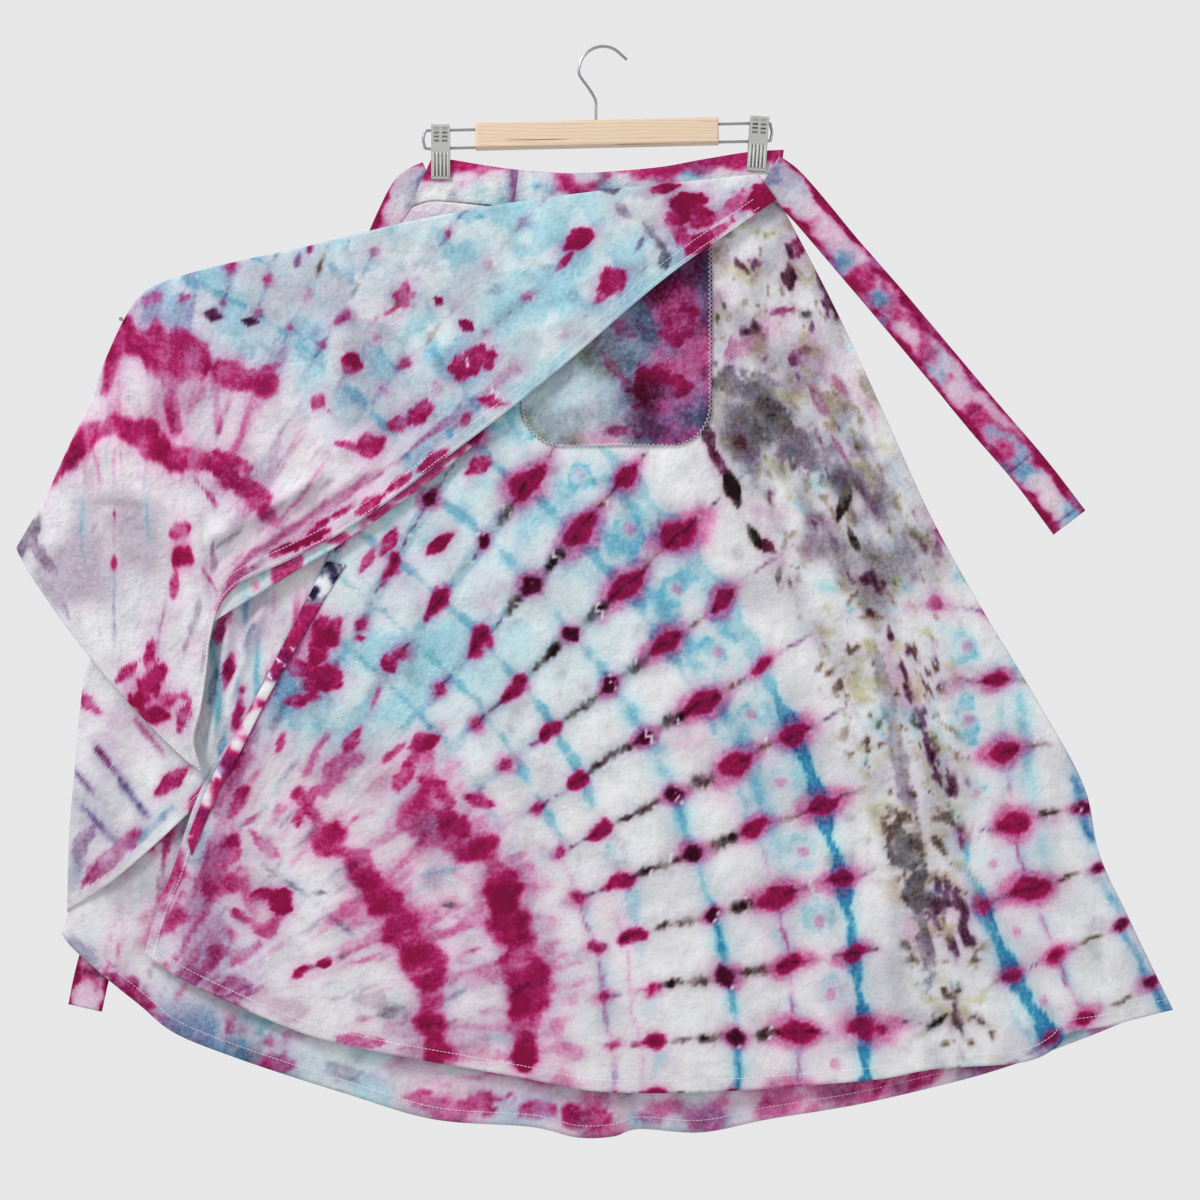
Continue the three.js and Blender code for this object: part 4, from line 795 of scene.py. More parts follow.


# Longer stains along a path of x and z, with half their width and the share of each dye. A few on the flap
# are painted shade.
Streak = namedtuple("Streak", "path wide magenta aqua dark")
UNDER_STREAKS = named(Streak, [
    ([(-275, -672), (-262, -690), (-250, -712)], 8, 0.75, 0, 0.05),
    ([(-250, -712), (-228, -732), (-205, -758), (-182, -785)], 18, 0.85, 0, 0.03),
    ([(-182, -785), (-167, -815), (-159, -849), (-156, -876), (-152, -902)], 22, 0.92, 0, 0.05),
    ([(-167, -621), (-159, -655), (-167, -686)], 8, 0.8, 0, 0.05),
    ([(-170, -686), (-129, -712), (-106, -731)], 24, 0.78, 0, 0.03),
    ([(-106, -731), (-91, -761), (-79, -799), (-68, -833), (-72, -868), (-70, -902)], 23, 1, 0, 0.06),
    ([(-190, -690), (-160, -740), (-122, -800), (-112, -860), (-108, -905)], 22, 0.3, 0, 0.03),
    ([(-205, -758), (-150, -715)], 9, 0.5, 0, 0.05), ([(-150, -790), (-96, -770)], 7, 0.42, 0, 0),
    ([(-146, -830), (-90, -822)], 6, 0.4, 0, 0), ([(-143, -880), (-84, -884)], 7, 0.4, 0, 0),
    ([(-322, -640), (-340, -690), (-356, -750), (-372, -815)], 15, 0.55, 0.15, 0.3),
    ([(-376, -832), (-330, -848), (-280, -866)], 12, 0.5, 0.1, 0.3),
    ([(-330, -780), (-300, -800), (-292, -782)], 7, 0.7, 0, 0.1),
    ([(-262, -500), (-300, -575), (-330, -640)], 9, 0.6, 0.1, 0.2),
    ([(-303, -738), (-262, -768), (-225, -800)], 2.4, 0.1, 0.1, 0.5),
    ([(-262, -768), (-240, -740)], 2.2, 0.05, 0.3, 0.3),
])
FLAP_STREAKS = named(Streak, [
    ([(-482, -375), (-461, -349), (-440, -341), (-414, -349), (-387, -372)], 13, 0.86, 0, 0.02),
    ([(-387, -372), (-361, -372), (-338, -387), (-322, -402), (-300, -420)], 13, 0.8, 0, 0.02),
    ([(-456, -256), (-437, -262), (-409, -268), (-377, -280)], 24, 0.8, 0, 0.08),
    ([(-377, -280), (-350, -290), (-328, -300), (-301, -306)], 15, 0.78, 0, 0.1),
    ([(-436, -275), (-449, -312)], 8, 0.6, 0, 0.05), ([(-394, -285), (-383, -345)], 7, 0.62, 0, 0.03),
    ([(-350, -290), (-345, -345)], 8, 0.55, 0, 0.03), ([(-318, -300), (-322, -360)], 7, 0.5, 0.1, 0.05),
    ([(-290, -320), (-300, -400)], 6, 0.35, 0.2, 0.15), ([(-470, -300), (-492, -370)], 8, 0.5, 0, 0.1),
    ([(-452, -262), (-432, -236), (-400, -226)], 6, 0.5, 0.1, 0.1),
    ([(-430, -292), (-370, -310), (-310, -335)], 24, 0.4, 0, 0.03),
    # painted shade: the dark streak on this line and the first on the next lie in the valleys of the flap's
    # folds
    ([(-262, -396), (-300, -422), (-350, -452)], 3, 0.1, 0.05, 0.5),
    ([(-352, -440), (-350, -470)], 4, 0.3, 0, 0.5), ([(-330, -430), (-302, -400)], 8, 0.1, 0, 0.24),
    ([(-345, -505), (-322, -462), (-270, -428), (-200, -382)], 7, 0.5, 0, 0.2),
    ([(-200, -382), (-140, -338), (-80, -290)], 5, 0.42, 0.1, 0.15),
])


def path_reach(x, z, path):
    """How far each point lies from a path of straight runs."""
    reach = np.full_like(x, np.inf)
    for (x0, z0), (x1, z1) in zip(path, path[1:]):
        run_x, run_z = x1 - x0, z1 - z0
        share = np.clip(((x - x0) * run_x + (z - z0) * run_z) / (run_x**2 + run_z**2), 0, 1)
        reach = np.minimum(reach, np.hypot(x - x0 - share * run_x, z - z0 - share * run_z))
    return reach


def streak_dye(dye, x, z, fan, streaks, seed):
    """Adds stains, and a few streaks of painted fold shade, along paths, torn into fibres that point away
    from the fan's centre.
    """
    dx, dz = x - fan.x, z - fan.z
    angle, radius = np.degrees(np.arctan2(dz, dx)), np.hypot(dx, dz)
    fibre = 0.8 * noise(angle * 5, radius * 0.22, 16, seed + 1) + 0.55 * noise(x, z, 18, seed + 2, 4)
    mottle = 0.92 + 0.4 * noise(x, z, 26, seed + 3, 4) + 0.4 * noise(angle * 5, radius * 0.2, 12, seed + 4)
    core, near = np.zeros_like(x), np.zeros_like(x)
    for streak in streaks:
        reach = path_reach(x, z, streak.path) / streak.wide
        heart = smooth(1.22 - reach + 0.85 * fibre, 0, max(0.8, 3.0 / streak.wide))
        fringe = smooth(2.4 - reach + 2.2 * fibre, 0, 1.3)
        pale = 0.44 * fringe * np.clip(1.3 * mottle - 0.3, 0.1, 1)
        dye.add(np.maximum(heart * mottle, pale), streak.magenta, streak.aqua, streak.dark)
        core = np.maximum(core, heart * smooth(streak.magenta, 0.3, 0.7))
        near = np.maximum(near, fringe)
    # bare tongues of cloth reach in between the fibres
    tongues = smooth(noise(angle * 6, radius * 0.16, 15, seed + 5) + 0.2 * fibre, -0.05, 0.3)
    dye.lighten(0.85 * tongues * near * (1 - core))


def under_dye(x, z):
    dye = Dye(x)
    left = fan_dye(x, z, UNDER_FAN, UNDER_RINGS)
    right = fan_dye(x, z, MIRROR_FAN, MIRROR_RINGS)
    left.lighten(0.68 * fall(np.hypot(x - UNDER_FAN.x, z - UNDER_FAN.z), 200, 290))
    band, window = axis_dye(x, z)
    past_axis = smooth(x - x_at(AXIS, z), -4, 4)
    dye.layer(left, (1 - past_axis) * (1 - 0.85 * window))
    dye.layer(right, past_axis * (1 - 0.85 * window))
    dye.layer(band, 1.0)
    stain = noise(x, z, 30, 73) + 0.5 * noise(x, z, 12, 74)
    corner = fall(np.hypot((x + 362) / 62, (z + 770) / 130), 0.4, 1.2)
    dye.add(corner * smooth(stain, -0.2, 0.5), magenta=0.72, dark=0.15)
    dye.add(corner * smooth(-stain, -0.1, 0.6), aqua=0.35, dark=0.3, magenta=0.25)
    streak_dye(dye, x, z, UNDER_FAN, UNDER_STREAKS, 75)
    blot_dye(dye, x, z, UNDER_BLOTS, 71)
    blot_dye(dye, x, z, AXIS_BLOTS, 76, 1.6)
    dye.bleed(x, z, 2, 72)
    return dye


def flap_dye(x, z):
    dye = fan_dye(x, z, FLAP_FAN, FLAP_RINGS)
    from_centre = np.hypot(x - FLAP_FAN.x, z - FLAP_FAN.z)
    dye.lighten(0.7 * fall(from_centre, 190, 225))
    far = smooth(x, -110, -30)
    dye.lighten(0.35 * far)
    cloud = noise(x, z, 44, 81) + 0.4 * noise(x, z, 18, 82)
    dye.add(far * smooth(cloud, -0.25, 0.45) * fall(x, 70, 110), aqua=0.44)
    beyond = smooth(from_centre + 12 * cloud, 296, 345) * fall(x, 70, 120)
    broad = noise(x, z, 70, 86) + 0.5 * cloud
    vein = bell(noise(x, z, 34, 89), 0.09) * smooth(cloud, -0.2, 0.4)
    dye.lighten(beyond * patches(x, z, 26, 90, 0.0, 0.4) * 0.6)
    dye.add(beyond * (0.13 + 0.4 * smooth(broad, -0.5, 0.5)), aqua=0.9)
    dye.add(beyond * (0.06 + 0.24 * smooth(-broad, -0.2, 0.6)), dark=0.9)
    dye.add(beyond * vein, dark=0.26, aqua=0.4, magenta=0.1)
    dye.lighten(beyond * patches(x, z, 24, 108, 0.1, 0.45) * 0.6)
    dye.add(patches(x, z, 60, 84, -0.1, 0.5) * fall(from_centre, 200, 260), dark=0.3, magenta=0.12)
    streak_dye(dye, x, z, FLAP_FAN, FLAP_STREAKS, 87)
    blot_dye(dye, x, z, FLAP_BLOTS, 83)
    dye.bleed(x, z, 3, 85, 0.12)
    return dye


def side_dye(x, z):
    dye = Dye(x)
    dye.add(patches(x, z, 50, 91, -0.1, 0.6), dark=0.22)
    dye.add(patches(x, z, 40, 92, 0.0, 0.6), magenta=0.2, aqua=0.1)
    streak = noise(x * 3.2, z * 0.35, 40, 93)
    near_fold = smooth(x, -372, -350) * smooth(-z, 470, 500)
    dye.add(near_fold * smooth(streak, 0.1, 0.5), magenta=0.7)
    dye.add(near_fold * smooth(-streak, 0.1, 0.5), aqua=0.6, dark=0.2)
    blot_dye(dye, x, z, SIDE_BLOTS, 94)
    dye.bleed(x, z, 2, 95)
    return dye


BACK_AXIS = 45  # x of the axis on the back


def back_dye(x, z):
    dye = Dye(x)
    left = fan_dye(x, z, BACK_FAN, BACK_RINGS)
    right = fan_dye(x, z, BACK_MIRROR, BACK_RINGS)
    past = smooth(x - BACK_AXIS, -4, 4)
    off = np.abs(x - BACK_AXIS)
    window = fall(off + 14 * noise(x, z, 50, 98), 26, 62)
    dye.layer(left, (1 - past) * (1 - 0.8 * window))
    dye.layer(right, past * (1 - 0.8 * window))
    dye.add(window * patches(off * 1.5 + 90, z * 0.8, 26, 99, 0, 0.6), dark=0.75, olive=0.5)
    # along the hem the dye ran together
    low = smooth(-z, 835, 890) * smooth(np.abs(x + 60) + 60 * smooth(-z, 930, 960), 40, 130)
    low = np.maximum(low, smooth(-z, 925, 950))
    stain, other = noise(x, z, 70, 96), noise(x, z, 30, 97)
    dye.lighten(0.75 * low)
    dye.add(low * smooth(stain + 0.8 * other, -0.15, 0.45), magenta=0.66)
    dye.add(low * smooth(-stain + 0.5 * other, -0.2, 0.45), aqua=0.45)
    dye.add(low * smooth(noise(x, z, 22, 101) + 0.4 * stain, -0.05, 0.6), dark=0.5)
    dye.add(low * smooth(-x, 300, 380), magenta=0.42, dark=0.3)
    blot_dye(dye, x, z, BACK_HEM_BLOTS, 102)
    dye.lighten(0.22 * low)
    left_end = low * smooth(-x, 230, 320)
    dye.add(left_end * smooth(other + 0.4 * stain, -0.25, 0.3), magenta=0.8, dark=0.2)
    dye.add(left_end * smooth(-other - 0.3 * stain, -0.05, 0.4), aqua=0.6, dark=0.3)
    dye.bleed(x, z, 2, 100)
    return dye


def pocket_dye(x, z):
    dye = Dye(x)
    cloud, patch = noise(x, z, 70, 101), noise(x, z, 30, 102)
    to_right = smooth(x + 18 * patch, -20, 56)
    dye.add(np.clip(to_right * 0.66 + 0.36 * patch + 0.15 * cloud - 0.02, 0, 0.85), magenta=1.0)
    dye.add(smooth(-cloud - 0.5 * patch, -0.6, 0.4) * mix(0.30, 0.58, to_right), aqua=1.0)
    dye.add(0.16 + patches(x, z, 34, 103, -0.4, 0.6) * mix(0.36, 0.6, to_right), dark=1.0)
    dye.add(smooth(patch - cloud, 0.2, 0.7) * 0.5 * (1 - to_right), olive=0.8)
    blot_dye(dye, x, z, POCKET_BLOTS, 104)
    dye.magenta *= 1 - 0.08 * to_right
    dye.add(to_right * smooth(patch, -0.6, 0.4), dark=0.36)
    dye.bleed(x, z, 3, 107)
    return dye


BAND_SEAM_X, BAND_HEIGHT = -82, 36  # where the band's two lengths meet, and its height


def waist_dye(x, z):
    dye = Dye(x)
    down = np.clip((np.interp(x, WAIST_SEAM[:, 0], WAIST_SEAM[:, 1]) + BAND_HEIGHT - z) / BAND_HEIGHT, 0, 1)
    patch, cloud = noise(x, z * 1.6, 26, 111), noise(x, z * 1.3, 46, 112)
    dye.add(smooth(0.7 * patch + 0.6 * cloud + 0.42 - 1.0 * down, -0.2, 0.45), magenta=0.8)
    dye.add(smooth(-cloud + 0.5 * patch, -0.1, 0.5), aqua=0.6)
    dye.add(patches(x, z, 22, 113, 0.1, 0.6), dark=0.4)
    dye.add(bell(x - BAND_SEAM_X, 5), magenta=0.5, aqua=0.5, dark=0.3)
    dye.bleed(x, z, 2, 114)
    return dye


TIE_FOLD = 63  # the length between the dark folds across a tie


def tie_dye(along, across):
    """Dye of a tie: along it in millimetres, and across it from -1 to 1."""
    dye = Dye(along)
    patch, cloud = noise(along, across * 17, 22, 121), noise(along, across * 12, 52, 122)
    near_edge = smooth(np.abs(across) + 0.6 * patch, 0.5, 0.88)
    dye.add(smooth(patch + 0.8 * cloud, -0.1, 0.6), magenta=0.72)
    cool = smooth(noise(along, across * 17, 26, 124) + 0.4 * patch, 0.0, 0.6)
    pale = smooth(noise(along, across * 17, 24, 125) + 0.3 * cloud, -0.1, 0.5)
    dye.lighten(np.maximum(0.8 * cool, 0.9 * pale))
    dye.add(cool, aqua=0.66, dark=0.1)
    dye.add(near_edge * mix(0.95, 0.5, cool), magenta=1.0, dark=0.2)
    dye.add(0.08 + 0.2 * smooth(cloud, -0.3, 0.4), magenta=1.0)
    dye.add(fall(along, 16, 46) * smooth(0.3 + patch, -0.2, 0.5), aqua=0.5, magenta=0.35)
    dye.add(smooth(-patch - cloud, 0.2, 0.7) * (1 - near_edge), dark=0.25)
    folds = bell(along % TIE_FOLD - TIE_FOLD // 2, 2.0)
    dye.add(folds * smooth(patch, -0.4, 0.3), dark=0.45, magenta=0.4)
    dye.bleed(along, across * 17, 2, 123)
    return dye


# ---------------------------------------------------------------- meshes


def facing_in(points, faces):
    """Whether a closed mesh has its faces pointing in."""
    corners = points[np.array([face[:3] for face in faces])]
    quads = [face for face in faces if len(face) == 4]
    more = points[np.array([[face[0], face[2], face[3]] for face in quads])]
    both = np.concatenate([corners, more])
    return np.einsum("ij,ij->i", both[:, 0], np.cross(both[:, 1], both[:, 2])).sum() < 0


def add_solid(name, points, faces):
    """A smooth closed mesh, its faces turned to point out."""
    if facing_in(points, faces):
        faces = [face[::-1] for face in faces]
    mesh = bpy.data.meshes.new(name)
    mesh.from_pydata(np.asarray(points, float) * MM, [], faces)
    mesh.polygons.foreach_set("use_smooth", [True] * len(mesh.polygons))
    mesh.update()
    piece = bpy.data.objects.new(name, mesh)
    bpy.context.scene.collection.objects.link(piece)
    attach(piece, "root")
    return piece


def add_attribute(piece, name, kind, values):
    attribute = piece.data.attributes.new(name, kind, "POINT")
    key = "color" if kind == "FLOAT_COLOR" else "value"
    attribute.data.foreach_set(key, np.asarray(values, np.float32).ravel())


def grid_faces(across, down, start):
    stride = down + 1
    i, j = np.meshgrid(np.arange(across), np.arange(down), indexing="ij")
    a = (i * stride + j).ravel() + start
    return np.stack([a, a + stride, a + stride + 1, a + 1], axis=1)


def rim_indices(across, down, start):
    stride = down + 1
    top = [start + i * stride for i in range(across)]
    right = [start + across * stride + j for j in range(down)]
    low = [start + i * stride + down for i in range(across, 0, -1)]
    left = [start + j for j in range(down, 0, -1)]
    return top + right + low + left


def shell(name, node, outer, inner, slot, dye, coarse=2, hem=None):
    """A closed thin wall: a fine grid of points outside and a coarser one inside, joined round the rim.

    It stands for the solid in a node, unless it is a piece that the solids leave out.
    """
    across, down = outer.shape[0] - 1, outer.shape[1] - 1
    few_across, few_down = across // coarse, down // coarse
    kept = (slice(None, None, coarse), slice(None, None, coarse))
    start = (across + 1) * (down + 1)
    points = np.concatenate([outer.reshape(-1, 3), inner[kept].reshape(-1, 3)])
    faces = grid_faces(across, down, 0).tolist()
    faces += grid_faces(few_across, few_down, start)[:, ::-1].tolist()
    fine_rim = rim_indices(across, down, 0)
    coarse_rim = rim_indices(few_across, few_down, start)
    for k, here in enumerate(fine_rim):
        after = fine_rim[(k + 1) % len(fine_rim)]
        partner = coarse_rim[(k + coarse // 2) // coarse % len(coarse_rim)]
        next_partner = coarse_rim[(k + 1 + coarse // 2) // coarse % len(coarse_rim)]
        corners = [here, partner, next_partner, after]
        faces.append(corners if partner != next_partner else [here, partner, after])
    piece = add_solid(name, points, faces)
    fields = np.stack(dye.parts(), axis=-1)
    colour = np.concatenate([fields.reshape(-1, 4), fields[kept].reshape(-1, 4)])
    # the dark channel of the dye colour also carries painted shade from some marks
    add_attribute(piece, "dye", "FLOAT_COLOR", colour)
    if hem is None:
        hem = np.full(outer.shape[:2], HEM_FAR)
    add_attribute(piece, "hem", "FLOAT", np.concatenate([hem.ravel(), hem[kept].ravel()]))
    if node:
        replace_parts(piece, node)
    return finish_in(piece, CLOTHS[slot])


def coons(left, right, top, low, across, down):
    """A grid of (x, z) inside four edges, which it keeps exactly."""
    left, right = edge(left, down)[None], edge(right, down)[None]
    top, low = edge(top, across)[:, None], edge(low, across)[:, None]
    u = np.linspace(0, 1, across + 1)[:, None, None]
    v = np.linspace(0, 1, down + 1)[None, :, None]
    corners = mix(mix(top[:1], top[-1:], u), mix(low[:1], low[-1:], u), v)
    grid = mix(left, right, u) + mix(top, low, v) - corners
    return grid[..., 0], grid[..., 1]


def waist_edge(from_x, to_x):
    return [waist_point(x) for x in np.linspace(from_x, to_x, 9)]


def distance_from(points, side):
    """How far each point of a grid lies from one of its edges, measured along the grid, in millimetres."""
    axis = 0 if side in ("left", "right") else 1
    steps = np.linalg.norm(np.diff(points, axis=axis), axis=-1)
    reach = np.zeros(points.shape[:2])
    if axis == 0:
        reach[1:] = np.cumsum(steps, axis=0)
    else:
        reach[:, 1:] = np.cumsum(steps, axis=1)
    if side in ("right", "low"):
        last = reach[-1:] if axis == 0 else reach[:, -1:]
        reach = last - reach
    return reach


def inset_line(points, side, distance):
    """The line on a grid that stays at one distance from one of its edges."""
    reach = distance_from(points, side)
    if side in ("left", "right"):
        points, reach = points.swapaxes(0, 1), reach.T
    line = []
    for column, far in zip(points, reach):
        order = np.argsort(far)
        line.append([np.interp(distance, far[order], column[order, k]) for k in range(3)])
    return np.array(line)


def stitches(name, lines, length=2.4, pitch=3.5, width=0.45, lift=0.28, zigzag=0.0):
    """Sewn stitches along lines on the cloth, each a small ridge of thread that stands off its front."""
    points, faces = [], []
    for line in lines:
        total = np.linalg.norm(np.diff(line, axis=0), axis=1).sum()
        count = max(2, int(total / pitch))
        seats = evenly(line, count)
        for k in range(count):
            here, after = seats[k], seats[k + 1]
            run = (after - here) / np.linalg.norm(after - here)
            side = np.array([-run[2], 0, run[0]])
            middle = (here + after) / 2
            if zigzag:
                run = run * 0.55 + side * (0.83 if k % 2 else -0.83)
                run /= np.linalg.norm(run)
                side = np.array([-run[2], 0, run[0]])
            half = run * length / 2
            out = np.array([0, -lift, 0])
            start = len(points)
            for end, rise in ((-1, 0.15), (-0.55, 1.0), (0.55, 1.0), (1, 0.15)):
                seat = middle + half * end
                points += [seat + side * width / 2, seat + out * rise, seat - side * width / 2]
            for ring in range(3):
                for corner in range(3):
                    a, b = start + 3 * ring + corner, start + 3 * ring + (corner + 1) % 3
                    faces.append([a, b, b + 3, a + 3])
            faces.append([start + 2, start + 1, start])
            faces.append([start + 9, start + 10, start + 11])
    return add_solid(name, np.array(points), faces)


def tube(name, path, radius, sides=16):
    """A round wire along a path of points."""
    path = np.asarray(path, float)
    run = np.gradient(path, axis=0)
    run /= np.linalg.norm(run, axis=1, keepdims=True)
    across = np.cross(run, [0.0, 1.0, 0.0])
    across /= np.linalg.norm(across, axis=1, keepdims=True)
    up = np.cross(run, across)
    angle = np.linspace(0, 2 * np.pi, sides, endpoint=False)[None, :, None]
    rings = path[:, None] + radius * (np.cos(angle) * across[:, None] + np.sin(angle) * up[:, None])
    faces = []
    for i in range(len(path) - 1):
        for j in range(sides):
            k = (j + 1) % sides
            faces.append([i * sides + j, i * sides + k, (i + 1) * sides + k, (i + 1) * sides + j])
    faces.append(list(range(sides))[::-1])
    faces.append([(len(path) - 1) * sides + j for j in range(sides)])
    return add_solid(name, rings.reshape(-1, 3), faces)


# ---------------------------------------------------------------- hanger sizes, as in the part's source

BAR_X, BAR_Z, BAR_LENGTH, BAR_TILT = -6.3, -77.5, 219, 1.3
WIRE_RADIUS, WIRE_RISE, WIRE_DROP, WIRE_LEFT, WIRE_RIGHT = 1.3, 8.1, 1.7, -163, 151.5
HOOK_RADIUS, HOOK_LOOP, HOOK_X, HOOK_Z = 1.35, 21.6, -0.9, -20.1
HOOK_STEM = [(-7.2, -65.5), (-7.2, -56), (-7.6, -47), (-13.4, -36.6), (-18.6, -29.6)]
HOOK_TIP = (20.7, -10.6)
CLIP_FACE = -5.5  # depth of the front of a clip's face
CLIPS = [("clip_left", -147, -94.5, 0), ("clip_right", 138.6, -87, 4.2)]  # name, x, z, lean in degrees


def turned(x, z, centre_x, centre_z, degrees):
    """(x, z) of a point in a frame that leans clockwise by some degrees about its centre."""
    lean = math.radians(degrees)
    return (
        centre_x + x * math.cos(lean) + z * math.sin(lean),
        centre_z - x * math.sin(lean) + z * math.cos(lean),
    )


# ---------------------------------------------------------------- materials

COTTON = (0.545, 0.548, 0.555)
MAGENTA_RAMP = [
    (0.0, (1, 1, 1)), (0.25, (0.96, 0.66, 0.82)), (0.5, (0.82, 0.20, 0.46)),
    (0.75, (0.58, 0.022, 0.17)), (1.0, (0.36, 0.006, 0.07)),
]
AQUA_RAMP = [
    (0.0, (1, 1, 1)), (0.3, (0.71, 0.95, 0.99)), (0.6, (0.29, 0.73, 0.86)), (1.0, (0.035, 0.34, 0.58)),
]
# the dark amount's colours serve both dark dye and the painted shade that some marks carry
DARK_RAMP = [
    (0.0, (1, 1, 1)), (0.3, (0.68, 0.67, 0.72)), (0.6, (0.27, 0.25, 0.31)), (1.0, (0.025, 0.02, 0.03)),
]
OLIVE_RAMP = [(0.0, (1, 1, 1)), (0.5, (0.80, 0.77, 0.52)), (1.0, (0.24, 0.22, 0.06))]
HEM_STEP = (10.2, 11.6)  # how far from its edge a turned hem ends, in millimetres
HEM_FAR = 60.0  # a distance from a hem that is beyond every hem


class Shader:
    """A material's nodes, added one call at a time."""

    def __init__(self, name):
        self.material = bpy.data.materials.new(name)
        self.material.use_nodes = True
        self.nodes = self.material.node_tree.nodes
        self.links = self.material.node_tree.links
        self.surface = self.nodes["Principled BSDF"]

    def put(self, value, socket):
        if isinstance(value, bpy.types.NodeSocket):
            self.links.new(value, socket)
        else:
            socket.default_value = value

    def add(self, kind, inputs=(), **settings):
        node = self.nodes.new(kind)
        for name, value in settings.items():
            setattr(node, name, value)
        for key, value in dict(inputs).items():
            self.put(value, node.inputs[key])
        return node

    def math(self, operation, a, b=0.0):
        return self.add("ShaderNodeMath", {0: a, 1: b}, operation=operation).outputs[0]

    def ramp(self, amount, stops):
        node = self.add("ShaderNodeValToRGB", {"Fac": amount})
        elements = node.color_ramp.elements
        elements[0].position, elements[1].position = stops[0][0], stops[-1][0]
        elements[0].color, elements[1].color = (*stops[0][1], 1), (*stops[-1][1], 1)
        for position, colour in stops[1:-1]:
            elements.new(position).color = (*colour, 1)
        return node.outputs["Color"]

    def place(self, stretch=(1, 1, 1), turn=(0, 0, 0)):
        where = self.add("ShaderNodeTexCoord").outputs["Object"]
        inputs = {"Vector": where, "Scale": stretch, "Rotation": turn}
        return self.add("ShaderNodeMapping", inputs).outputs["Vector"]

    def noise(self, where, scale, detail=3.0, roughness=0.6):
        inputs = {"Vector": where, "Scale": scale, "Detail": detail, "Roughness": roughness}
        return self.add("ShaderNodeTexNoise", inputs).outputs["Fac"]

    def multiply(self, a, b):
        node = self.add("ShaderNodeMix", data_type="RGBA", blend_type="MULTIPLY")
        colours = [socket for socket in node.inputs if socket.type == "RGBA"]
        node.inputs[0].default_value = 1.0
        self.put(a, colours[0])
        self.put(b, colours[1])
        return [socket for socket in node.outputs if socket.type == "RGBA"][0]

    def bump(self, height, distance, strength, after=None):
        inputs = {"Height": height, "Distance": distance, "Strength": strength}
        if after is not None:
            inputs["Normal"] = after
        return self.add("ShaderNodeBump", inputs).outputs["Normal"]

    def weighted(self, a, share_a, b, share_b):
        return self.math("ADD", self.math("MULTIPLY", a, share_a), self.math("MULTIPLY", b, share_b))

    def ranged(self, value, low, high, first, last):
        """A value from low to high turned into one from first to last."""
        inputs = {"Value": value, "From Min": low, "From Max": high, "To Min": first, "To Max": last}
        return self.add("ShaderNodeMapRange", inputs).outputs[0]

    def wave(self, where, scale, distortion, direction, detail=2.0):
        inputs = {"Vector": where, "Scale": scale, "Distortion": distortion, "Detail": detail}
        return self.add("ShaderNodeTexWave", inputs, bands_direction=direction).outputs["Fac"]

    def use(self, **sockets):
        """The material, once the surface's sockets are set by their names in lower case."""
        for name, value in sockets.items():
            self.put(value, self.surface.inputs[name.replace("_", " ").title().replace("Ior", "IOR")])
        return self.material


def cloth_material(name, grain, crinkle):
    """Dyed cotton: four dyes by amount, the dark one also painted shade in places, ragged at a thread's
    scale, over a plain weave with small puckers.
    """
    shader = Shader(name)
    where = shader.place()
    dye = shader.add("ShaderNodeAttribute", attribute_name="dye")
    split = shader.add("ShaderNodeSeparateColor", {"Color": dye.outputs["Color"]})
    amounts = [split.outputs[k] for k in range(3)] + [dye.outputs["Alpha"]]
    ragged = shader.noise(where, 260, 4.0, 0.65)
    thread = shader.noise(shader.place((1, 1, 2.0)), 1100, 2.0, 0.6)
    uneven = shader.weighted(ragged, grain, thread, 0.3)
    uneven = shader.math("ADD", uneven, 1 - 0.5 * grain - 0.15)
    cloud = shader.noise(where, 26, 4.0, 0.6)
    weathered = shader.math("ADD", shader.weighted(cloud, 0.5, thread, 0.24), 0.61)
    smudge = shader.noise(where, 75, 5.0, 0.72)
    weathered = shader.math("MULTIPLY", weathered, shader.ranged(smudge, 0.34, 0.52, 0.89, 1.0))
    colour = shader.multiply((*COTTON, 1), weathered)
    for amount, stops in zip(amounts, (MAGENTA_RAMP, AQUA_RAMP, DARK_RAMP, OLIVE_RAMP)):
        colour = shader.multiply(colour, shader.ramp(shader.math("MULTIPLY", amount, uneven), stops))
    hem = shader.add("ShaderNodeAttribute", attribute_name="hem").outputs["Fac"]
    step = shader.ranged(hem, *HEM_STEP, 1.0, 0.0)
    weave_x, weave_z = (shader.wave(where, 560.0, 0.6, direction) for direction in "XZ")
    weave = shader.math("MULTIPLY", weave_x, weave_z)
    soft = shader.noise(where, 55, 3.0, 0.55)
    fine = shader.noise(where, 240, 3.0, 0.6)
    folds = shader.math("ABSOLUTE", shader.math("SUBTRACT", shader.noise(where, 34, 3.0, 0.55), 0.5))
    folded = shader.ranged(folds, 0.0, 0.022, 1.0, 0.0)
    normal = shader.bump(step, 0.0009, 0.9)
    normal = shader.bump(folded, 0.0006, crinkle * 0.7, normal)
    normal = shader.bump(soft, 0.006, crinkle, normal)
    normal = shader.bump(fine, 0.0016, crinkle, normal)
    normal = shader.bump(weave, 0.00025, 0.5, normal)
    return shader.use(base_color=colour, roughness=0.88, specular_ior_level=0.08, normal=normal)


def thread_material():
    shader = Shader("sewing_thread")
    shade = shader.noise(shader.place(), 60, 2.0)
    stops = [(0.3, (0.62, 0.56, 0.66)), (0.55, (0.80, 0.78, 0.82)), (0.8, (0.78, 0.62, 0.74))]
    return shader.use(base_color=shader.ramp(shade, stops), roughness=0.8)


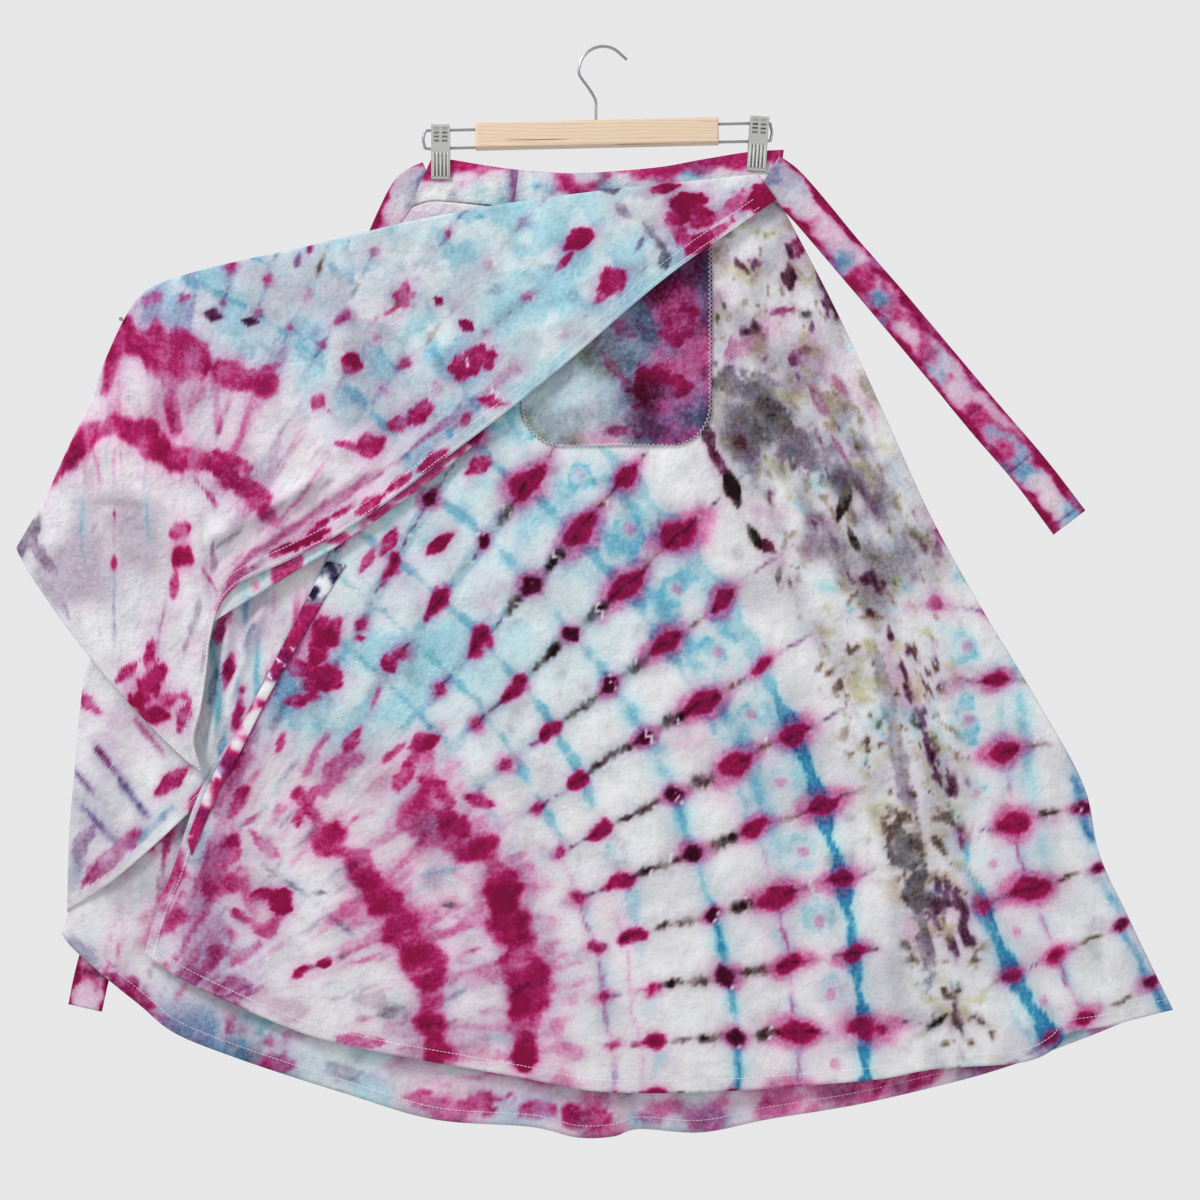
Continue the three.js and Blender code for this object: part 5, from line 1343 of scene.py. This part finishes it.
def pine_material():
    """Planed pine with long grain and a few shakes."""
    shader = Shader("pine")
    along = shader.place((0.12, 1, 1))
    rings = shader.wave(along, 95.0, 7.0, "Z", 3.0)
    grain = shader.noise(shader.place((0.05, 1, 1)), 900, 3.0)
    wood_stops = [(0.0, (0.43, 0.31, 0.215)), (0.5, (0.475, 0.36, 0.262)), (1.0, (0.52, 0.40, 0.305))]
    wood = shader.ramp(shader.weighted(rings, 0.6, grain, 0.4), wood_stops)
    shakes = shader.noise(shader.place((0.03, 1, 1)), 210, 2.0, 0.5)
    crack_stops = [(0.0, (0.30, 0.19, 0.11)), (0.29, (0.45, 0.3, 0.2)), (0.315, (1, 1, 1)), (1.0, (1, 1, 1))]
    crack = shader.ramp(shakes, crack_stops)
    normal = shader.bump(shakes, 0.0006, 0.3)
    return shader.use(base_color=shader.multiply(wood, crack), roughness=0.55, normal=normal)


def metal_material(name, colour, roughness, brushed=0.0):
    shader = Shader(name)
    streak = shader.noise(shader.place((0.2, 1, 1)), 700, 2.0)
    rough = shader.math("ADD", shader.math("MULTIPLY", streak, 0.16), roughness)
    normal = shader.bump(streak, 0.0002, 0.15 + brushed)
    return shader.use(base_color=(*colour, 1), metallic=1.0, roughness=rough, normal=normal)


CLOTHS = {
    "dyed_cotton": cloth_material("dyed_panel_cotton", 0.9, 0.55),
    "band_cotton": cloth_material("dyed_band_cotton", 0.9, 0.7),
    "pocket_cotton": cloth_material("dyed_pocket_cotton", 0.9, 0.7),
}
THREAD = thread_material()
PINE = pine_material()
WIRE_METAL = metal_material("bright_wire_metal", (0.30, 0.30, 0.31), 0.24)
# painted shade: a near-black finish for the strips that stand for the shade in a clip's grooves
GROOVE_SHADE = metal_material("clip_groove_shade", (0.06, 0.06, 0.06), 0.6)
CLIP_METAL = metal_material("pressed_clip_metal", (0.42, 0.42, 0.40), 0.34, 0.2)


def finish_in(piece, material):
    piece.data.materials.clear()
    piece.data.materials.append(material)
    return piece


# ---------------------------------------------------------------- cloth


def relief(x, z, seed, height):
    """Small puckers that ironing leaves in tied cloth."""
    return height * noise(x, z, 15, seed, 2)


def stack(x, y, z):
    return np.stack([x, y, z], axis=-1)


def hem_reach(outer, sides):
    reach = np.full(outer.shape[:2], HEM_FAR)
    for side in sides:
        reach = np.minimum(reach, distance_from(outer, side))
    return reach


def panel(name, node, edges, counts, face, dye_of, hems, behind=False, coarse=3):
    """A panel's cloth. Its finer grid of points is on the front, or on the back if it is seen from behind."""
    x, z = coons(*edges, *counts)
    front = stack(x, face(x, z), z)
    back = front + [0, CLOTH, 0]
    outer, inner = (back, front) if behind else (front, back)
    piece = shell(name, node, outer, inner, "dyed_cotton", dye_of(x, z), coarse, hem_reach(front, hems))
    return piece, front


def under_cloth_face(x, z):
    inside = smooth(x_at(RIGHT_EDGE, z) - x, 0, 40) * smooth(x - x_at(UNDER_EDGE, z), 0, 20)
    return under_face(x, z) - relief(x, z, 201, 0.45) * inside


under, under_front = panel(
    "under_panel_cloth", "under_panel",
    (UNDER_EDGE, RIGHT_EDGE, waist_edge(UNDER_TOP[0], TOP_RIGHT[0]),
     [FREE_EDGE[-1]] + UNDER_HEM + [RIGHT_SIDE[-1]]),
    (300, 270), under_cloth_face, under_dye, ("left", "low"),
)
back, back_front = panel(
    "back_panel_cloth", "back_panel",
    (LEFT_EDGE, [TOP_RIGHT] + RIGHT_SIDE[:-1] + [BACK_RIGHT], waist_edge(TOP_LEFT[0], TOP_RIGHT[0]),
     [BACK_LEFT] + BACK_HEM + [BACK_RIGHT]),
    (230, 190), back_face, back_dye, ("low",), behind=True, coarse=1,
)
side, side_front = panel(
    "over_panel_side_cloth", "over_panel_side",
    ([TOP_LEFT] + LEFT_SIDE, [SIDE_TOP] + SIDE_INNER, waist_edge(TOP_LEFT[0], SIDE_TOP[0]),
     [LEFT_SIDE[-1]] + SIDE_HEM + [SIDE_INNER[-1]]),
    (96, 222), side_face, side_dye, ("low",),
)


def pocket_cloth():
    """The pocket bag, which lies on the under panel, with two round corners below and curled edges."""
    z = mix(POCKET_TOP, POCKET_BOTTOM, np.sin(np.linspace(0, np.pi / 2, 97)))[None, :]
    into_corner = np.maximum(0, POCKET_BOTTOM + POCKET_CORNER - z)
    round_off = np.sqrt(np.maximum(0, POCKET_CORNER**2 - into_corner**2))
    x = POCKET_X + (POCKET_HALF - POCKET_CORNER + round_off) * np.linspace(-1, 1, 79)[:, None]
    z = np.broadcast_to(z, x.shape)
    y = under_cloth_face(x, z) - SEAM_GAP
    front, back_side = stack(x, y - CLOTH, z), stack(x, y, z)
    rim = hem_reach(front, ("left", "right", "low"))
    curl = fall(rim, 0, 9) * (0.35 + 0.5 * noise(x, z, 22, 210))
    front[..., 1] -= np.clip(curl, 0, 1)
    return shell("pocket_bag_cloth", "pocket_bag", front, back_side, "pocket_cotton", pocket_dye(x, z)), front


pocket, pocket_front = pocket_cloth()


def flap_grids(steps=330, front_steps=100, roll_steps=10, return_steps=14):
    """The turned-up wrap: up from its free edge, over the fold, and a short way back down inside."""
    fold_rows = [(row[0], row[1]) for row in FLAP]
    free_rows = [(row[2], row[3]) for row in FLAP]
    stations = len(FLAP) - 1
    fine = np.linspace(0, stations, 1400)
    run_length = np.r_[0, np.cumsum(np.linalg.norm(np.diff(spline(fold_rows, fine), axis=0), axis=1))]
    station = np.interp(np.linspace(0, run_length[-1], steps + 1), run_length, fine)
    fold, free = spline(fold_rows, station), spline(free_rows, station)
    length = np.linalg.norm(free - fold, axis=1)
    run = (free - fold) / length[:, None]
    hem_share = smooth(station, stations - 2.5, stations)
    roll = mix(ROLL_START, ROLL, smooth(station, 0, FLAP_SETTLED))
    returned = np.minimum(RETURN_DEPTH, RETURN_SHARE * length)

    def place(inwards):
        bulge = HEM_BULGE * hem_share * np.sin(np.pi * np.clip(inwards / length, 0, 1)) ** 0.6
        return (
            fold[:, 0] + run[:, 0] * inwards - np.abs(run[:, 1]) * bulge,
            fold[:, 1] + run[:, 1] * inwards - np.abs(run[:, 0]) * bulge,
        )

    fold_depth = flap_depth(*place(roll), station)
    columns, outs = [], []
    for share in np.linspace(0, 1, front_steps + 1):
        x, z = place(mix(length, roll, share))
        calm = smooth(share, 0, 0.1) * smooth(1 - share, 0, 0.06) * smooth(station, 0, FLAP_SETTLED)
        columns.append(stack(x, flap_depth(x, z, station) - relief(x, z, 220, 0.55) * calm, z))
        outs.append(np.broadcast_to([0.0, -1.0, 0.0], (steps + 1, 3)))
    for angle in np.linspace(0, np.pi, roll_steps + 1)[1:]:
        x, z = place(roll - roll * np.sin(angle))
        columns.append(stack(x, fold_depth + roll - roll * np.cos(angle), z))
        out = -np.sin(angle)
        outs.append(stack(out * run[:, 0], np.full(steps + 1, -np.cos(angle)), out * run[:, 1]))
    for share in np.linspace(0, 1, return_steps + 1)[1:]:
        x, z = place(mix(roll, returned, share))
        columns.append(stack(x, fold_depth + 2 * roll, z))
        outs.append(np.broadcast_to([0.0, 1.0, 0.0], (steps + 1, 3)))
    middle, out = np.stack(columns, axis=1), np.stack(outs, axis=1)
    return middle + out * CLOTH / 2, middle - out * CLOTH / 2, front_steps


flap_outer, flap_inner, flap_front_steps = flap_grids()
flap = shell(
    "over_panel_flap_cloth", "over_panel_flap", flap_outer, flap_inner, "dyed_cotton",
    flap_dye(flap_outer[..., 0], flap_outer[..., 2]), hem=hem_reach(flap_outer, ("top",)),
)


def strip_cloth(name, shown, hidden, depth, dye_of, count, lift=0.0):
    """A narrow turned strip of a panel, from the edge that shows to the one that is tucked away."""
    place = np.linspace(0, 1, 13)[None, :, None]
    grid = mix(edge(shown, count)[:, None], edge(hidden, count)[:, None], place)
    x, z = grid[..., 0], grid[..., 1]
    curl = lift * np.sin(np.pi * place[..., 0] ** 0.7) + 0.35 * noise(x, z, 14, 250, 2)
    front = stack(x, depth(x, z) - curl, z)
    shell(name, None, front, front + [0, 0.7 * CLOTH, 0], "dyed_cotton", dye_of(x, z))


def flap_strip_dye(x, z):
    dye = Dye(x)
    tip = fall(x, -334, -318)
    dye.add((1 - tip) * patches(x, z, 22, 131, -0.2, 0.3), magenta=0.7)
    dye.add((1 - tip) * smooth(-noise(x, z, 22, 131), -0.05, 0.4), aqua=0.5)
    dye.add(patches(x, z, 30, 132, 0.0, 0.5), dark=0.2)
    return dye


def edge_strip_dye(x, z):
    dye = Dye(x)
    upper = smooth(z, -506, -494)
    dye.add((1 - upper) * smooth(noise(x, z, 24, 133) + 0.2, -0.2, 0.3), magenta=0.85)
    dye.add((1 - upper) * smooth(-noise(x, z, 24, 134), 0.1, 0.4), aqua=0.4)
    dye.add(upper * patches(x, z, 12, 135, -0.5, 0.3), dark=0.85, aqua=0.7, magenta=0.5)
    dye.lighten(0.9 * patches(x + 0.5 * z, z, 9, 136, 0.42, 0.6))
    return dye


FLAP_STRIP_DEPTH = -11.0
EDGE_STRIP_STAND = 1.2  # how far the strip stands off the under panel
strip_cloth(
    "flap_turned_strip", FLAP_STRIP_SHOWN, FLAP_STRIP_HIDDEN,
    lambda x, z: np.full(x.shape, FLAP_STRIP_DEPTH), flap_strip_dye, 120,
)
strip_cloth(
    "under_edge_turned_strip", EDGE_STRIP_SHOWN, EDGE_STRIP_HIDDEN,
    lambda x, z: under_cloth_face(x, z) - EDGE_STRIP_STAND, edge_strip_dye, 150, 0.9,
)


def band_cloth(name, node, start, end, face_y, behind, count):
    """A length of the waistband with softly rounded edges and small gathers along its seam."""
    place = np.linspace(start, end, count + 1)
    top = spline([(row[0], row[1]) for row in WAIST], place)[:, None]
    low = spline([(row[2], row[3]) for row in WAIST], place)[:, None]
    down = np.linspace(0, 1, 18)[None, :, None]
    grid = mix(top, low, down)
    x, z = grid[..., 0], grid[..., 1]
    rounding = 0.8 * (np.abs(down[..., 0] * 2 - 1) ** 10)
    gathers = 0.22 * noise(x, z * 0.3, 9, 230, 2) + 0.1
    front = stack(x, face_y + rounding + gathers * (not behind), z)
    back = stack(x, face_y + BAND - rounding - gathers * behind, z)
    outer, inner = (back, front) if behind else (front, back)
    return shell(name, node, outer, inner, "band_cotton", waist_dye(x, z), 1), front


band_left, band_left_front = band_cloth(
    "waistband_left_cloth", "waistband_front_left", 0, BAND_JOIN - 0.01, BAND_FRONT_FACE, False, 48,
)
band_right, band_right_front = band_cloth(
    "waistband_right_cloth", "waistband_front_right", BAND_JOIN, len(WAIST) - 1, BAND_FRONT_FACE, False, 110,
)
band_back, _ = band_cloth(
    "waistband_back_cloth", "waistband_back", 0, len(WAIST) - 1, BAND_BACK_FACE, True, 156,
)


def tie_cloth(name, node, rows, count):
    """A long flat tie that ripples a little across its length."""
    table = np.array(rows, float)
    place = np.linspace(0, len(rows) - 1, count * 4)
    path = spline(table[:, [0, 3, 1]], place)
    walk = np.r_[0, np.cumsum(np.linalg.norm(np.diff(path, axis=0), axis=1))]
    at = np.linspace(0, walk[-1], count + 1)
    place = np.interp(at, walk, place)
    centre = spline(table[:, [0, 3, 1]], place)
    run = np.gradient(centre, axis=0)
    run /= np.hypot(run[:, 0], run[:, 2])[:, None]
    width = np.interp(place, np.arange(len(rows)), table[:, 2])
    across = np.linspace(1, -1, 17)[None, :]
    x = centre[:, 0, None] - run[:, 2, None] * across * width[:, None] / 2
    z = centre[:, 2, None] + run[:, 0, None] * across * width[:, None] / 2
    along = np.broadcast_to(at[:, None], x.shape)
    from_middle = np.broadcast_to(across, x.shape)
    ripple = 0.38 * noise(along, from_middle * 12, 17, 240, 2) * smooth(along, 0, 25)
    y = centre[:, 1, None] - ripple - 0.25 * (1 - across**2)
    front = stack(x, y, z)
    return shell(name, node, front, front + [0, CLOTH, 0], "band_cotton", tie_dye(along, from_middle))


tie_right = tie_cloth("tie_right_cloth", "tie_right", RIGHT_TIE, 192)
tie_left = tie_cloth("tie_left_cloth", "tie_left", LEFT_TIE, 360)

# ---------------------------------------------------------------- sewing

flap_face = flap_outer[:, : flap_front_steps + 1]
sewn = [
    stitches("under_hem_stitches", [inset_line(under_front, "low", 11)]),
    stitches("under_edge_stitches", [inset_line(under_front, "left", 9)]),
    stitches("back_hem_stitches", [inset_line(back_front, "low", 11)]),
    stitches("side_hem_stitches", [inset_line(side_front, "low", 11)]),
    stitches("flap_hem_stitches", [inset_line(flap_face, "top", d)[8:] for d in (3, 12)]),
    stitches("waist_stitches", [band_left_front[:, -3], band_right_front[:, -3]]),
    stitches("pocket_serging", [inset_line(pocket_front, s, 1.6) for s in ("left", "right", "low")],
             length=3.2, pitch=2.0, width=0.4, lift=0.35, zigzag=1.0),
]
for seam in sewn:
    finish_in(seam, THREAD)

# ---------------------------------------------------------------- hanger


def upright(path):
    """Points of x and z, set in the plane y = 0."""
    return stack(path[:, 0], 0 * path[:, 0], path[:, 1])


arc = [math.radians(a) for a in np.linspace(190, 42, 10)]
loop = [(HOOK_X + HOOK_LOOP * math.cos(a), HOOK_Z + HOOK_LOOP * math.sin(a)) for a in arc]
hook_path = edge(HOOK_STEM + loop + [HOOK_TIP], 150)
hook = tube("hook_wire", upright(hook_path), HOOK_RADIUS)
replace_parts(finish_in(hook, WIRE_METAL), "hanger_hook")


def side_wire(name, node, end_x):
    """One side's rod: out of the bar, round its end and back into the bar."""
    way = math.copysign(1, end_x)
    inner, outer = way * (BAR_LENGTH / 2 + SEAM_GAP), end_x - BAR_X
    corner = outer - way * WIRE_RISE * 0.45
    half = [(inner, WIRE_RISE), (mix(inner, corner, 0.5), WIRE_RISE)]
    half += [(corner, WIRE_RISE), (outer - way, WIRE_RISE * 0.6)]
    rows = half + [(outer, 0)] + [(x, -z) for x, z in half[::-1]]
    rows = [turned(x, z - WIRE_DROP, BAR_X, BAR_Z, -BAR_TILT) for x, z in rows]
    path = edge(rows, 90)
    piece = tube(name, upright(path), WIRE_RADIUS)
    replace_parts(finish_in(piece, WIRE_METAL), node)


side_wire("left_wire", "wire_left", WIRE_LEFT)
side_wire("right_wire", "wire_right", WIRE_RIGHT)

# the pressed ribs of a clip's face, and dark strips of painted shade in the grooves between them
Ridge = namedtuple("Ridge", "kind count top low sunk radius sides material")
RIDGES = named(Ridge, [
    ("rib", 5, -0.5, -22.5, 0.3, 0.75, 10, CLIP_METAL), ("groove_shade", 4, -1, -21.5, 0.35, 0.5, 8, GROOVE_SHADE),
])
RIDGE_PITCH = 3.3
for name, x, z, lean in CLIPS:
    for ridge in RIDGES:
        for k in range(ridge.count):
            across = (k - (ridge.count - 1) / 2) * RIDGE_PITCH
            heights = np.linspace(ridge.top, ridge.low, 18)
            path = [turned(across, height, x, z, lean) for height in heights]
            path = [(px, CLIP_FACE + ridge.sunk, pz) for px, pz in path]
            wire = tube(f"{name}_{ridge.kind}_{k + 1}", path, ridge.radius, ridge.sides)
            finish_in(wire, ridge.material)

for node, material in (("hanger_bar", PINE), ("wall_pin", WIRE_METAL)):
    finish_in(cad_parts[node], material)
for name, _, _, _ in CLIPS:
    for part, material in (("front", CLIP_METAL), ("back", CLIP_METAL), ("spring", WIRE_METAL)):
        finish_in(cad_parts[f"{name}_{part}"], material)

# ---------------------------------------------------------------- stage, light and camera


ROOM = (0.80, 0.80, 0.81, 1)
AIM = (0, 0, -0.5)  # the middle of the skirt; this and the places below are in metres
LIGHTS = [  # name, place, size, power
    ("key_light", (-1.8, -1.5, 1.5), 0.8, 90),
    ("fill_light", (1.6, -2.0, -0.2), 1.4, 16),
    ("rear_light", (0.6, 2.4, 0.8), 1.4, 22),
]
CAMERA_PLACE, LENS, SENSOR = (-0.0036, -2.005, -0.4977), 66.7, 36


def area_light(name, place, size, power):
    light = bpy.data.lights.new(name, "AREA")
    light.shape, light.size, light.energy = "DISK", size, power
    lamp = bpy.data.objects.new(name, light)
    run = [AIM[k] - place[k] for k in range(3)]
    lamp.location = place
    lamp.rotation_euler = (math.atan2(math.hypot(run[0], run[1]), -run[2]), 0, math.atan2(-run[0], run[1]))
    bpy.context.scene.collection.objects.link(lamp)


scene = bpy.context.scene
scene.view_settings.view_transform = "Standard"
world = bpy.data.worlds.new("pale_room")
world.use_nodes = True
background = world.node_tree.nodes["Background"]
background.inputs["Color"].default_value = ROOM
background.inputs["Strength"].default_value = 1.0
scene.world = world

bpy.ops.mesh.primitive_circle_add(vertices=96, radius=1.8, fill_type="NGON", location=(0, 0, -1.6))
floor = bpy.context.object
floor.name = "stage_floor"
floor_paint = Shader("pale_floor").use(base_color=(0.8, 0.8, 0.8, 1), roughness=0.9)
finish_in(floor, floor_paint)

for light in LIGHTS:
    area_light(*light)

camera_data = bpy.data.cameras.new("camera")
camera_data.lens, camera_data.sensor_width = LENS, SENSOR
camera = bpy.data.objects.new("camera", camera_data)
camera.location = CAMERA_PLACE
camera.rotation_euler = (math.pi / 2, 0, 0)
scene.collection.objects.link(camera)
scene.camera = camera
